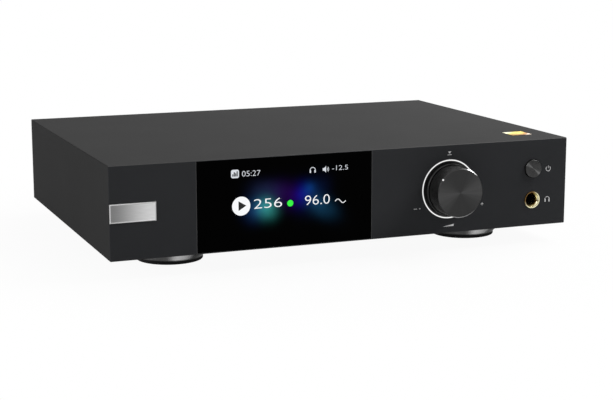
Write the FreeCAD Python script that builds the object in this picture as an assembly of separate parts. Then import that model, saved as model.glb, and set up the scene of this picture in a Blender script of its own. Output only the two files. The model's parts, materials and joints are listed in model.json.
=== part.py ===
import FreeCAD, Part
import math
import os

# A desktop digital-to-analogue converter: an aluminium case with a glass display window, a
# push-and-turn volume knob in a ring of light, a power button, a headphone socket, four round
# feet, and the boards, sockets and switch that it holds. Millimetres, +Z up, +X to the right
# seen from the front, +Y towards the back. The origin is the middle of the whole object's
# footprint, on the surface that it stands on.

V = FreeCAD.Vector
X_AXIS, Y_AXIS, Z_AXIS = V(1, 0, 0), V(0, 1, 0), V(0, 0, 1)

# ---------------------------------------------------------------- driving sizes
case_width = 270.0
case_depth = 192.0
case_height = 50.0
half_width = case_width / 2
foot_height = 10.4
knob_reach = 14.0  # front face of the knob, ahead of the fascia
socket_reach = 8.5  # end of the phono barrels, behind the rear panel

fascia_thick = 6.0
cover_wall = 2.5
base_thick = 2.0
rear_thick = 2.0
bracket_thick = 1.5
edge_bevel = 0.35
panel_gap = 0.2  # round a panel that is let into another piece
shaft_gap = 0.06  # round a shaft that turns or slides

# window and badge, let into the fascia
window_width = 100.0
window_centre_x = -0.2815 * half_width
window_margin = 0.6  # strip of fascia left above and below the glass
glass_thick = 2.0
glass_bevel = 0.15
screen_width = 88.0
screen_height = 40.0
badge_width = 24.8
badge_height = 10.0
badge_inset = 0.3  # from the side of the case; its seat is open on that side
badge_thick = 1.0
badge_proud = 0.35

# knob and what it turns
knob_x = 0.4407 * half_width
knob_radius = 13.8
knob_skirt_radius = 14.6
knob_skirt_thick = 1.6
knob_clearance = 1.2  # from the skirt to the fascia's face
knob_cap_thick = 4.6
knob_hub_radius = 5.2
knob_wall = 2.0
push_travel = 0.6
shaft_radius = 3.0
index_angle = 143.5  # of the white dot, from +X towards +Z
index_radius = 0.5
light_ring_radius = 16.8
light_ring_width = 1.15
light_ring_flange = 1.6
dial_recess = 0.6
encoder_side = 12.0
encoder_depth = 6.5
bushing_radius = 3.5

# power button and headphone socket, one above the other
side_controls_x = half_width - 22.0
button_height = 33.2  # above the underside of the case
button_radius = 5.15
button_proud = 1.2
button_travel = 0.8
button_gap = 0.25
phones_height = 15.1
phones_radius = 3.25
collar_radius = 4.9
collar_proud = 0.4

# feet
foot_x = half_width - 44.3
foot_setback = 42.4  # from the fascia's face, and from the rear face
foot_top_radius = 23.1
foot_bottom_radius = 18.6
pad_thick = 1.7

# boards
board_thick = 1.6
standoff_height = 6.0
standoff_radius = 3.0
board_lift = base_thick + standoff_height

# rear sockets, by their share of the way from the middle to each side, and their height
xlr_left_x, xlr_right_x = 0.415 * half_width, 0.83 * half_width
analog_x = 0.622 * half_width
usb_x = 0.23 * half_width
optical_a_x, optical_b_x = 0.096 * half_width, -0.015 * half_width
coax_x = -0.155 * half_width
antenna_x = -0.296 * half_width
rocker_x = -0.467 * half_width
inlet_x = -0.741 * half_width
phono_low, phono_high = 17.5, 35.5
antenna_height = 35.5
phono_radius = 4.15
phono_bore_radius = 1.65
phono_root_radius = 4.6  # of the part of the barrel that is held in its block

# fasteners
m3_radius = 1.45
m3_hole = 1.5
m3_head_radius = 2.75
m3_head_height = 1.8
m4_radius = 1.95
m4_hole = 2.0
m4_head_radius = 3.6
m4_head_height = 2.6

# ---------------------------------------------------------------- places that follow from them
front_y = knob_reach - (knob_reach + case_depth + socket_reach) / 2
rear_y = front_y + case_depth
fascia_back_y = front_y + fascia_thick
bracket_back_y = fascia_back_y + bracket_thick
rear_in_y = rear_y - rear_thick
base_z = foot_height
top_z = base_z + case_height
mid_z = base_z + case_height / 2
floor_z = base_z + base_thick
ceiling_z = top_z - cover_wall
inner_half = half_width - cover_wall
board_z = base_z + board_lift
board_top_z = board_z + board_thick
knob_z = mid_z
button_z = base_z + button_height
phones_z = base_z + phones_height


# ---------------------------------------------------------------- shape helpers
def box(x0, x1, y0, y1, z0, z1):
    return Part.makeBox(x1 - x0, y1 - y0, z1 - z0, V(x0, y0, z0))


def block(x, z, wide, tall, y0, y1):
    """A box centred on x and z that runs from y0 back to y1."""
    return box(x - wide / 2, x + wide / 2, y0, y1, z - tall / 2, z + tall / 2)


def rod(x, z, radius, y0, y1):
    """A round bar that runs front to back."""
    return Part.makeCylinder(radius, y1 - y0, V(x, y0, z), Y_AXIS)


def post(x, y, radius, z0, z1):
    """An upright round bar."""
    return Part.makeCylinder(radius, z1 - z0, V(x, y, z0), Z_AXIS)


def ring(x, z, outer, inner, y0, y1):
    return rod(x, z, outer, y0, y1).cut(rod(x, z, inner, y0 - 1, y1 + 1))


def turned(x, z, profile):
    """A solid of revolution about a front-to-back axis, from (radius, y) points."""
    points = [V(x + r, y, z) for r, y in profile]
    face = Part.Face(Part.makePolygon(points + points[:1]))
    return face.revolve(V(x, 0, z), Y_AXIS, 360)


def lathed(x, y, profile):
    """A solid of revolution about an upright axis, from (radius, z) points."""
    points = [V(x + r, y, z) for r, z in profile]
    face = Part.Face(Part.makePolygon(points + points[:1]))
    return face.revolve(V(x, y, 0), Z_AXIS, 360)


def joined(shapes):
    first, rest = shapes[0], shapes[1:]
    return first.fuse(rest).removeSplitter() if rest else first


def group(solids):
    return Part.makeCompound(solids)


def hexagon(across_flats, height):
    """An upright hexagonal prism that stands on the origin."""
    corner = across_flats / math.sqrt(3)
    points = [
        V(corner * math.cos(k * math.pi / 3), corner * math.sin(k * math.pi / 3), 0) for k in range(7)
    ]
    return Part.Face(Part.makePolygon(points)).extrude(V(0, 0, height))


def aimed(shape, at, direction):
    shape.Placement = FreeCAD.Placement(at, FreeCAD.Rotation(Z_AXIS, direction))
    return shape


def screw(
    at, direction, shank_length,
    radius=m3_radius, head_radius=m3_head_radius, head_height=m3_head_height,
):
    """A socket screw: at is the middle of the seat under its head, direction is where its point goes."""
    head = Part.makeCylinder(head_radius, head_height, V(0, 0, -head_height))
    shank = Part.makeCylinder(radius, shank_length)
    socket = hexagon(radius * 1.6, head_height * 0.6)
    socket.translate(V(0, 0, -head_height))
    return aimed(head.fuse(shank).removeSplitter().cut(socket), at, direction)


def edges_at(shape, test):
    """The edges whose two ends both pass the test."""
    return [e for e in shape.Edges if len(e.Vertexes) == 2 and all(test(v.Point) for v in e.Vertexes)]


def close(a, b):
    return abs(a - b) < 1e-6


# ---------------------------------------------------------------- fascia and what is let into it
fascia_screw_inset = 8.0
fascia_screw_xs = (
    fascia_screw_inset - half_width, window_centre_x - window_width / 2 - 7.0,
    window_centre_x + window_width / 2 + 14.0, 0.667 * half_width, half_width - fascia_screw_inset,
)
fascia_screw_low = 7.0
fascia_screw_high = case_height - 8.0
fascia_screw_depth = 4.0
fascia_screws_at = [(x, base_z + h) for x in fascia_screw_xs for h in (fascia_screw_low, fascia_screw_high)]
badge_left = -half_width + badge_inset
badge_x = badge_left + badge_width / 2
ring_pocket_radius = light_ring_radius + 1.6
screen_gap = 0.25


def front_panel():
    plate = box(-half_width, half_width, front_y, fascia_back_y, base_z, top_z)
    rim = edges_at(plate, lambda p: close(p.y, front_y))
    corners = [
        e for e in edges_at(plate, lambda p: close(abs(p.x), half_width)) if close(e.Length, fascia_thick)
    ]
    plate = plate.makeChamfer(edge_bevel, rim + corners)
    window_tall = case_height - 2 * window_margin
    cuts = [
        block(window_centre_x, mid_z, window_width, window_tall, front_y - 1, front_y + glass_thick),
        block(
            window_centre_x, mid_z, screen_width + 2 * screen_gap, screen_height + 2 * screen_gap,
            front_y, fascia_back_y + 1,
        ),
        box(
            -half_width - 1, badge_left + badge_width + panel_gap,
            front_y - 1, front_y + badge_thick - badge_proud,
            mid_z - badge_height / 2 - panel_gap, mid_z + badge_height / 2 + panel_gap,
        ),
        rod(knob_x, knob_z, light_ring_radius + shaft_gap, front_y - 1, fascia_back_y + 1),
        rod(
            knob_x, knob_z, ring_pocket_radius + panel_gap,
            fascia_back_y - light_ring_flange, fascia_back_y + 1,
        ),
        rod(side_controls_x, button_z, button_radius + button_gap, front_y - 1, fascia_back_y + 1),
        rod(side_controls_x, phones_z, collar_radius + shaft_gap, front_y - 1, fascia_back_y + 1),
    ]
    cuts += [
        rod(x, z, m3_hole, fascia_back_y - fascia_screw_depth, fascia_back_y + 1)
        for x, z in fascia_screws_at
    ]
    return plate.cut(cuts)


def display_glass():
    tall = case_height - 2 * window_margin - panel_gap
    glass = block(window_centre_x, mid_z, window_width - panel_gap, tall, front_y, front_y + glass_thick)
    return glass.makeChamfer(glass_bevel, edges_at(glass, lambda p: close(p.y, front_y)))


def display_module():
    frame = block(window_centre_x, mid_z, screen_width, screen_height, front_y + glass_thick, fascia_back_y)
    lip = 1.2
    recess = 0.2
    view = block(
        window_centre_x, mid_z, screen_width - 2 * lip, screen_height - 2 * lip,
        front_y + glass_thick - 1, front_y + glass_thick + recess,
    )
    return frame.cut(view)


def badge_plate():
    plate = block(
        badge_x, mid_z, badge_width, badge_height,
        front_y - badge_proud, front_y + badge_thick - badge_proud,
    )
    return plate.makeChamfer(badge_proud / 2, edges_at(plate, lambda p: close(p.y, front_y - badge_proud)))


foil_side = 12.4
foil_inset_x = 13.0
foil_inset_y = 17.5
foil_thick = 0.2


def foil_label():
    right = half_width - foil_inset_x
    front = front_y + foil_inset_y
    return box(right - foil_side, right, front, front + foil_side, top_z, top_z + foil_thick)


# ---------------------------------------------------------------- cover, base, rear panel, bracket
rail_side = 8.0
rail_front_gap = 16.0
rail_x = inner_half - rail_side / 2
rail_low_z = floor_z + rail_side / 2
rail_high_z = ceiling_z - rail_side / 2
lug_length = 12.0
cover_screw_ys = (front_y + 30.0, (front_y + rear_y) / 2, rear_y - 30.0)
cover_screw_length = 7.0
corner_screws_at = [(x, z) for x in (-rail_x, rail_x) for z in (rail_low_z, rail_high_z)]
countersink = 1.4


def top_cover():
    shell = box(-half_width, half_width, fascia_back_y, rear_y, base_z, top_z)
    long_edges = [
        e for e in edges_at(shell, lambda p: close(p.z, top_z) or close(p.z, base_z))
        if close(e.Length, rear_y - fascia_back_y)
    ]
    shell = shell.makeChamfer(edge_bevel, long_edges)
    shell = shell.cut(box(-inner_half, inner_half, fascia_back_y - 1, rear_y + 1, base_z - 1, ceiling_z))
    pieces = [shell]
    for side in (-1, 1):
        inner, outer = sorted((side * (inner_half - rail_side), side * (inner_half + 0.5)))
        pieces.append(
            box(inner, outer, fascia_back_y + rail_front_gap, rear_in_y, floor_z, floor_z + rail_side)
        )
        pieces.append(
            box(inner, outer, rear_in_y - lug_length, rear_in_y, ceiling_z - rail_side, ceiling_z + 0.5)
        )
    cover = joined(pieces)
    holes = [
        post(x, y, m3_hole, floor_z - 1, floor_z + cover_screw_length)
        for x in (-rail_x, rail_x)
        for y in cover_screw_ys
    ]
    holes += [
        rod(x, z, m3_hole, rear_in_y - cover_screw_length, rear_in_y + 1) for x, z in corner_screws_at
    ]
    return cover.cut(holes)


foot_places = [(x, y) for y in (front_y + foot_setback, rear_y - foot_setback) for x in (-foot_x, foot_x)]
bracket_flange = 14.0
bracket_screw_xs = [share * half_width for share in (-0.874, -0.074, 0.222, 0.667)]
bracket_screw_y = fascia_back_y + 9.0
board_front_y = front_y + 50.0
board_side_x = inner_half - rail_side - 3.5
board_split_x = -0.304 * half_width
board_split_gap = 10.0
main_board_box = (board_split_x + board_split_gap / 2, board_side_x, board_front_y, rear_in_y - 0.6)
power_board_box = (-board_side_x, board_split_x - board_split_gap / 2, board_front_y, rear_in_y - 26.0)
board_inset = 5.0
flat_cable_width = 20.0
flat_cable_thick = 0.3
flat_cable_x = -0.119 * half_width
flat_cable_end_y = main_board_box[2] + 4.0


def board_corners(extent):
    x0, x1, y0, y1 = extent
    return [
        (x, y) for x in (x0 + board_inset, x1 - board_inset) for y in (y0 + board_inset, y1 - board_inset)
    ]


socket_zone = 34.0  # depth at the back of the main board that its sockets take up
main_board_front = main_board_box[:3] + (rear_in_y - socket_zone,)
standoff_places = board_corners(main_board_front) + board_corners(power_board_box)


def countersunk_hole(x, y):
    """A hole through the base plate whose cone opens downwards."""
    cone = Part.makeCone(m3_head_radius + panel_gap, m3_hole, countersink, V(x, y, base_z), Z_AXIS)
    return post(x, y, m3_hole, base_z - 1, floor_z + 1).fuse(cone)


def base_plate():
    wide = inner_half - panel_gap
    plate = box(-wide, wide, fascia_back_y + panel_gap, rear_y, base_z, floor_z)
    cuts = [post(x, y, m4_hole, base_z - 1, floor_z + 1) for x, y in foot_places]
    cuts += [post(x, y, m3_hole, base_z - 1, floor_z + 1) for x, y in standoff_places]
    cuts += [post(x, bracket_screw_y, m3_hole, base_z - 1, floor_z + 1) for x in bracket_screw_xs]
    cuts += [countersunk_hole(x, y) for x in (-rail_x, rail_x) for y in cover_screw_ys]
    return plate.cut(cuts)


xlr_hole_radius = 12.0
phono_boss_radius = 5.5
usb_wide, usb_tall = 12.0, 11.0
optical_wide, optical_tall = 9.8, 10.0
inlet_hole_wide, inlet_hole_tall = 27.2, 20.0
rocker_hole_wide, rocker_hole_tall = 13.0, 19.4
antenna_radius = 3.15
antenna_root_radius = 3.4
antenna_nut_thick = 2.2
low_socket_z = board_top_z
usb_z = low_socket_z + usb_tall / 2
optical_z = low_socket_z + optical_tall / 2
xlr_screw_x, xlr_screw_z = 9.5, 12.0
inlet_screw_x = 20.0


def rear_panel():
    wide = inner_half - panel_gap
    plate = box(-wide, wide, rear_in_y, rear_y, floor_z, ceiling_z)
    y0, y1 = rear_in_y - 1, rear_y + 1
    cuts = [rod(x, z, m3_hole, y0, y1) for x, z in corner_screws_at]
    for x in (xlr_left_x, xlr_right_x):
        cuts.append(rod(x, mid_z, xlr_hole_radius, y0, y1))
        cuts += [rod(x + s * xlr_screw_x, mid_z + s * xlr_screw_z, m3_hole, y0, y1) for s in (-1, 1)]
    for x in (analog_x, coax_x):
        cuts += [rod(x, base_z + h, phono_boss_radius + panel_gap, y0, y1) for h in (phono_low, phono_high)]
    cuts.append(block(usb_x, usb_z, usb_wide + 2 * panel_gap, usb_tall + 2 * panel_gap, y0, y1))
    for x in (optical_a_x, optical_b_x):
        cuts.append(block(x, optical_z, optical_wide + 2 * panel_gap, optical_tall + 2 * panel_gap, y0, y1))
    cuts.append(rod(antenna_x, base_z + antenna_height, antenna_root_radius + shaft_gap, y0, y1))
    cuts.append(block(rocker_x, mid_z, rocker_hole_wide, rocker_hole_tall, y0, y1))
    cuts.append(block(inlet_x, mid_z, inlet_hole_wide, inlet_hole_tall, y0, y1))
    cuts += [rod(inlet_x + s * inlet_screw_x, mid_z, m3_hole, y0, y1) for s in (-1, 1)]
    return plate.cut(cuts)


ring_led_count = 12
ring_led_circle = light_ring_radius - light_ring_width / 2
ring_led_radius = 1.1
bracket_margin = 1.2


def ring_led_places():
    step = 2 * math.pi / ring_led_count
    return [
        (knob_x + ring_led_circle * math.cos(k * step), knob_z + ring_led_circle * math.sin(k * step))
        for k in range(ring_led_count)
    ]


def front_bracket():
    wide = inner_half - bracket_margin
    wall = box(-wide, wide, fascia_back_y, bracket_back_y, floor_z, ceiling_z - bracket_margin)
    flange = box(
        -wide, wide, fascia_back_y, fascia_back_y + bracket_flange, floor_z, floor_z + bracket_thick
    )
    y0, y1 = fascia_back_y - 1, bracket_back_y + 1
    cuts = [rod(x, z, m3_hole, y0, y1) for x, z in fascia_screws_at]
    cuts.append(rod(knob_x, knob_z, bushing_radius + shaft_gap, y0, y1))
    cuts += [rod(x, z, ring_led_radius, y0, y1) for x, z in ring_led_places()]
    cuts.append(rod(side_controls_x, button_z, button_radius + button_gap, y0, y1))
    cuts.append(rod(side_controls_x, phones_z, collar_radius + shaft_gap, y0, y1))
    cuts.append(block(flat_cable_x, mid_z, flat_cable_width + 4.0, 4.0, y0, y1))
    cuts += [
        post(x, bracket_screw_y, m3_hole, floor_z - 1, floor_z + bracket_thick + 1)
        for x in bracket_screw_xs
    ]
    return joined([wall, flange]).cut(cuts)


# ---------------------------------------------------------------- feet
foot_lip = 0.5
foot_screw_seat = 3.0  # metal left above the screw's head
foot_well_radius = m4_head_radius + 1.4


def foot_shells():
    """A turned shell with a bellied side, bored from below for its screw."""
    shells = []
    seat_z = base_z - foot_screw_seat
    for x, y in foot_places:
        low, high = pad_thick, base_z
        middle = V(x + (foot_top_radius + foot_bottom_radius) / 2 + 0.7, y, (low + high) / 2)
        path = [
            V(x, y, low), V(x + foot_bottom_radius - foot_lip, y, low),
            V(x + foot_bottom_radius, y, low + foot_lip),
        ]
        side = Part.Arc(path[2], middle, V(x + foot_top_radius, y, high - foot_lip)).toShape()
        rest = [
            V(x + foot_top_radius, y, high - foot_lip), V(x + foot_top_radius - foot_lip, y, high),
            V(x, y, high), path[0]
        ]
        edges = [Part.makeLine(a, b) for a, b in zip(path, path[1:])] + [side]
        edges += [Part.makeLine(a, b) for a, b in zip(rest, rest[1:])]
        shell = Part.Face(Part.Wire(edges)).revolve(V(x, y, 0), Z_AXIS, 360)
        shell = shell.cut(
            [post(x, y, foot_well_radius, 0, seat_z), post(x, y, m4_hole, seat_z - 1, base_z + 1)]
        )
        shells.append(shell)
    return group(shells)


def foot_pads():
    pads = []
    outer, inner = foot_bottom_radius - 0.2, foot_well_radius
    soft = 0.45
    for x, y in foot_places:
        pads.append(lathed(x, y, [
            (inner, 0), (outer - soft, 0), (outer, soft), (outer, pad_thick), (inner, pad_thick),
        ]))
    return group(pads)


def foot_screws():
    length = foot_screw_seat + base_thick + 1.5
    seats = [V(x, y, base_z - foot_screw_seat) for x, y in foot_places]
    return group([screw(at, Z_AXIS, length, m4_radius, m4_head_radius, m4_head_height) for at in seats])


# ---------------------------------------------------------------- ring of light and dial base
def light_ring():
    face_y = front_y - 0.12
    flange_y = fascia_back_y - light_ring_flange
    inner = light_ring_radius - light_ring_width
    round_off = 0.2
    return turned(knob_x, knob_z, [
        (inner, face_y + round_off), (inner + round_off, face_y), (light_ring_radius - round_off, face_y),
        (light_ring_radius, face_y + round_off), (light_ring_radius, flange_y),
        (ring_pocket_radius, flange_y), (ring_pocket_radius, fascia_back_y), (inner, fascia_back_y),
    ])


nut_recess_radius = 7.2
nut_recess_floor = 2.0
washer_thick = 0.5
nut_thick = 2.0
nut_across = 10.0


def dial_base():
    radius = light_ring_radius - light_ring_width - shaft_gap * 2
    disc = turned(knob_x, knob_z, [
        (0, front_y + dial_recess + 0.4), (radius - 1.0, front_y + dial_recess + 0.4),
        (radius - 0.6, front_y + dial_recess), (radius, front_y + dial_recess),
        (radius, fascia_back_y), (0, fascia_back_y),
    ])
    well = rod(knob_x, knob_z, nut_recess_radius, front_y, fascia_back_y - nut_recess_floor)
    return disc.cut([well, rod(knob_x, knob_z, bushing_radius + shaft_gap, front_y, fascia_back_y + 1)])


ring_board_thick = 1.0


def ring_light_board():
    """A ring of board against the bracket, with its lamps in the bracket's holes."""
    y1 = bracket_back_y + ring_board_thick
    disc = ring(knob_x, knob_z, light_ring_radius + 2.4, encoder_side * 0.78, bracket_back_y, y1)
    radius = ring_led_radius - 0.25
    lamps = [rod(x, z, radius, fascia_back_y + 0.2, bracket_back_y) for x, z in ring_led_places()]
    return joined([disc] + lamps)


# ---------------------------------------------------------------- encoder behind the knob
encoder_front_y = bracket_back_y
encoder_back_y = encoder_front_y + encoder_depth
encoder_wall = 1.0
encoder_base_thick = 1.2
rotor_radius = 4.8
tail_radius = 2.2
tail_flat = 1.6
bushing_end_y = front_y + 1.2
clip_thick = 0.5
clip_radius = 4.4
shaft_nose_y = front_y - knob_reach + knob_cap_thick - 1.0
tail_end_y = encoder_front_y + 3.7
rotor_y = encoder_front_y + 1.7
rotor_thick = 1.4
switch_pin_radius = 1.5


def flatted_rod(radius, flat, y0, y1):
    """A round bar on the knob's axis with one flat side."""
    bar = rod(knob_x, knob_z, radius, y0, y1)
    return bar.cut(
        box(knob_x + flat, knob_x + radius + 1, y0 - 1, y1 + 1, knob_z - radius, knob_z + radius)
    )


def encoder_housing():
    """A moulded case and, as a second solid, the plate that closes its back."""
    y0, y1 = encoder_front_y, encoder_back_y - encoder_base_thick
    body = block(knob_x, knob_z, encoder_side, encoder_side, y0, y1)
    body = body.cut([
        rod(knob_x, knob_z, rotor_radius + 0.3, y0 + encoder_wall, y1 + 1),
        rod(knob_x, knob_z, bushing_radius + encoder_wall, y0 - 1, y0 + encoder_wall + 1),
    ])
    plate = block(knob_x, knob_z, encoder_side, encoder_side, y1, encoder_back_y)
    return group(
        [body, plate.cut(rod(knob_x, knob_z, switch_pin_radius + shaft_gap, front_y, encoder_back_y + 1))]
    )


def encoder_bushing():
    bore = shaft_radius + shaft_gap
    tube = ring(knob_x, knob_z, bushing_radius, bore, bushing_end_y, encoder_front_y)
    flange_y = encoder_front_y + encoder_wall
    flange = ring(knob_x, knob_z, bushing_radius + encoder_wall, bore, encoder_front_y, flange_y)
    return joined([tube, flange])


def bushing_nut():
    """The hexagon nut and washer that clamp the encoder to the dial base."""
    seat = fascia_back_y - nut_recess_floor
    bore = bushing_radius + shaft_gap
    washer = ring(knob_x, knob_z, nut_recess_radius - 1.2, bore, seat - washer_thick, seat)
    nut = aimed(hexagon(nut_across, nut_thick), V(knob_x, seat - washer_thick, knob_z), -Y_AXIS)
    return group([washer, nut.cut(rod(knob_x, knob_z, bore, front_y - 2, seat))])


def encoder_rotor():
    disc = rod(knob_x, knob_z, rotor_radius, rotor_y, rotor_y + rotor_thick)
    return disc.cut(
        flatted_rod(tail_radius + shaft_gap, tail_flat + shaft_gap, rotor_y - 1, rotor_y + rotor_thick + 1)
    )


def encoder_switch_pin():
    return rod(knob_x, knob_z, switch_pin_radius, tail_end_y, encoder_back_y - push_travel - 0.1)


# ---------------------------------------------------------------- knob
knob_face_y = front_y - knob_reach
knob_back_y = front_y - knob_clearance
skirt_front_y = knob_back_y - knob_skirt_thick
knob_inside_y = knob_face_y + knob_cap_thick
set_screw_y = (knob_inside_y + skirt_front_y) / 2
set_screw_angle = index_angle - 180.0
bevel = 0.5


def across(angle):
    """The outward direction at an angle round the knob's axis."""
    return V(math.cos(math.radians(angle)), 0, math.sin(math.radians(angle)))


def index_place():
    """Where the white dot sits on the knob's bevelled front edge, and the way it faces."""
    out = across(index_angle)
    at = V(knob_x, knob_face_y, knob_z) + out * (knob_radius - bevel / 2) + Y_AXIS * (bevel / 2)
    facing = (out - Y_AXIS).normalize()
    return at, facing


def volume_knob():
    hollow = knob_radius - knob_wall
    groove = 0.35
    outside = turned(knob_x, knob_z, [
        (0, knob_face_y), (knob_radius - bevel, knob_face_y), (knob_radius, knob_face_y + bevel),
        (knob_radius, skirt_front_y - groove), (knob_radius - groove, skirt_front_y),
        (knob_skirt_radius - groove, skirt_front_y), (knob_skirt_radius, skirt_front_y + groove),
        (knob_skirt_radius, knob_back_y), (hollow, knob_back_y), (hollow, knob_inside_y),
        (knob_hub_radius, knob_inside_y), (knob_hub_radius, knob_back_y + 0.4), (0, knob_back_y + 0.4),
    ])
    at, facing = index_place()
    dot_hole = Part.makeCylinder(index_radius + 0.02, 3, at - facing * 1.2, facing)
    screw_hole = Part.makeCylinder(
        m3_hole, knob_skirt_radius, V(knob_x, set_screw_y, knob_z), across(set_screw_angle)
    )
    bore = rod(knob_x, knob_z, shaft_radius + 0.02, shaft_nose_y - 0.5, knob_back_y + 2)
    return outside.cut([bore, dot_hole, screw_hole])


def knob_index_dot():
    at, facing = index_place()
    pin = Part.makeCylinder(index_radius, 1.25, at - facing * 1.1, facing)
    return pin.makeChamfer(
        0.12, [e for e in pin.Edges if (e.BoundBox.Center - at).dot(facing) > 0.1 and e.Closed]
    )


def knob_set_screw():
    start = V(knob_x, set_screw_y, knob_z) + across(set_screw_angle) * (shaft_radius + 0.05)
    length = 4.5
    grub = Part.makeCylinder(m3_radius, length)
    socket = hexagon(1.5, 1.6)
    socket.translate(V(0, 0, length - 1.6))
    return aimed(grub.cut(socket), start, across(set_screw_angle))


def knob_shaft():
    """The encoder's shaft, with the clip that stops it coming out of its bushing."""
    stem = rod(knob_x, knob_z, shaft_radius, shaft_nose_y, encoder_front_y + encoder_wall)
    tail = flatted_rod(tail_radius, tail_flat, encoder_front_y + encoder_wall - 0.5, tail_end_y - 0.02)
    clip_y = bushing_end_y - push_travel - 0.15
    clip = rod(knob_x, knob_z, clip_radius, clip_y - clip_thick, clip_y)
    return joined([stem, tail, clip])


# ---------------------------------------------------------------- front board, power button, headphone socket
front_board_y = encoder_back_y
front_board_back_y = front_board_y + board_thick
tact_side = 6.0
tact_depth = 3.5
tact_pin_radius = 1.75
tact_pin_reach = 1.2
tact_front_y = front_board_y - tact_depth
phones_body_side = 16.0
phones_body_depth = 25.0
phones_body_front_y = bracket_back_y
button_flange_radius = button_radius + 1.6
button_flange_thick = 0.7
button_stem_radius = 1.6


def front_board():
    """Stands behind the bracket, cut away round the headphone socket's body."""
    right = side_controls_x + 11.0
    board = box(knob_x - 22, right, front_board_y, front_board_back_y, base_z + 7.0, top_z - 6.0)
    reach = phones_body_side / 2 + 0.5
    corner = box(
        side_controls_x - reach, right + 1, front_board_y - 1, front_board_back_y + 1,
        base_z, phones_z + reach,
    )
    return board.cut(corner)


front_spacer_places = (
    (knob_x - 19.5, top_z - 9.0), (side_controls_x - 12.0, top_z - 9.0), (knob_x + 30.0, base_z + 14.0)
)


def power_switch():
    body = block(side_controls_x, button_z, tact_side, tact_side, tact_front_y, front_board_y)
    return body.cut(
        rod(side_controls_x, button_z, tact_pin_radius + shaft_gap, tact_front_y - 1, front_board_y - 0.8)
    )


def power_switch_pin():
    return rod(
        side_controls_x, button_z, tact_pin_radius, tact_front_y - tact_pin_reach,
        front_board_y - 0.8 - button_travel - 0.1
    )


def power_button():
    cap = rod(side_controls_x, button_z, button_radius, front_y - button_proud, bracket_back_y + 0.1)
    cap = cap.makeChamfer(
        0.3, [e for e in cap.Edges if e.Closed and close(e.BoundBox.Center.y, front_y - button_proud)]
    )
    flange_y = bracket_back_y + 0.05
    flange = rod(side_controls_x, button_z, button_flange_radius, flange_y, flange_y + button_flange_thick)
    stem = rod(
        side_controls_x, button_z, button_stem_radius, flange_y, tact_front_y - tact_pin_reach - 0.02
    )
    return joined([cap, flange, stem])


def jack_collar():
    y0 = front_y - collar_proud
    mouth = collar_radius - 0.55
    end = phones_body_front_y + 1.5
    return turned(side_controls_x, phones_z, [
        (mouth, y0), (collar_radius - 0.2, y0), (collar_radius, y0 + 0.2), (collar_radius, end),
        (phones_radius, end), (phones_radius, y0 + 1.5),
    ])


contact_slot = 2.6
contact_thick = 0.4


def jack_body():
    y0, y1 = phones_body_front_y, phones_body_front_y + phones_body_depth
    body = block(side_controls_x, phones_z, phones_body_side, phones_body_side, y0, y1)
    bore = rod(side_controls_x, phones_z, phones_radius + 0.9, y0 - 1, y1 - 1.5)
    seat = rod(side_controls_x, phones_z, collar_radius + shaft_gap, y0 - 1, y0 + 1.5)
    slots = [
        box(
            side_controls_x - contact_slot / 2, side_controls_x + contact_slot / 2, y0 + 5, y1 + 1,
            min(phones_z, phones_z + s * 6.4), max(phones_z, phones_z + s * 6.4),
        ) for s in (-1, 1)
    ]
    return body.cut([bore, seat] + slots)


def jack_contacts():
    """Leaf springs that lie beside the plug's path, with a tail out of the back."""
    y0 = phones_body_front_y + 6.0
    y1 = phones_body_front_y + phones_body_depth
    leaves = []
    for side, length in ((1, y1 + 4.0 - y0), (-1, y1 + 4.0 - y0 - 5.0)):
        low = phones_z + side * (phones_radius + 0.5)
        z0, z1 = sorted((low, low + side * contact_thick))
        leaf = box(side_controls_x - 1.0, side_controls_x + 1.0, y1 + 4.0 - length, y1 + 4.0, z0, z1)
        heel_z = sorted((low, phones_z + side * 6.4))
        heel = box(side_controls_x - 1.0, side_controls_x + 1.0, y1 - 2.0, y1 - 1.6, heel_z[0], heel_z[1])
        leaves.append(joined([leaf, heel]))
    return group(leaves)


# ---------------------------------------------------------------- boards and what they carry
def board(extent):
    x0, x1, y0, y1 = extent
    return box(x0, x1, y0, y1, board_z, board_top_z)


def holes_for_standoffs(extent):
    x0, x1, y0, y1 = extent
    inside = [(x, y) for x, y in standoff_places if x0 < x < x1 and y0 < y < y1]
    return [post(x, y, m3_hole, board_z - 1, board_top_z + 1) for x, y in inside]


def main_board():
    return board(main_board_box).cut(holes_for_standoffs(main_board_box))


def power_board():
    return board(power_board_box).cut(holes_for_standoffs(power_board_box))


def board_standoffs():
    """Tubes under the two flat boards, and pegs between the bracket and the upright one."""
    tubes = [
        post(x, y, standoff_radius, floor_z, board_z).cut(post(x, y, m3_hole, floor_z - 1, board_z + 1))
        for x, y in standoff_places
    ]
    return group(tubes + [rod(x, z, 2.2, bracket_back_y, front_board_y) for x, z in front_spacer_places])


def on_board(x, y, wide, deep, tall, lift=0.0):
    """A box centred on x and y that stands on a board."""
    return box(
        x - wide / 2, x + wide / 2, y - deep / 2, y + deep / 2, board_top_z + lift,
        board_top_z + lift + tall
    )


def behind(distance):
    """The place that far in front of the rear panel."""
    return rear_in_y - distance


channel_spread = 20.0
channel_xs = (analog_x - channel_spread, analog_x + channel_spread)
amplifier_chip = (5.0, 4.0, 1.5)
converter_chip = (10.0, 10.0, 1.2)
clock_chip = (7.0, 7.0, 1.0)
data_chip = (12.0, 12.0, 1.2)
logic_chip = (17.0, 17.0, 1.4)
screen_chip = (8.0, 8.0, 1.2)
amplifier_offset = 8.0
amplifier_row, converter_row, data_row, logic_row, screen_row = 46.0, 76.0, 38.0, 62.0, 100.0


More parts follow.
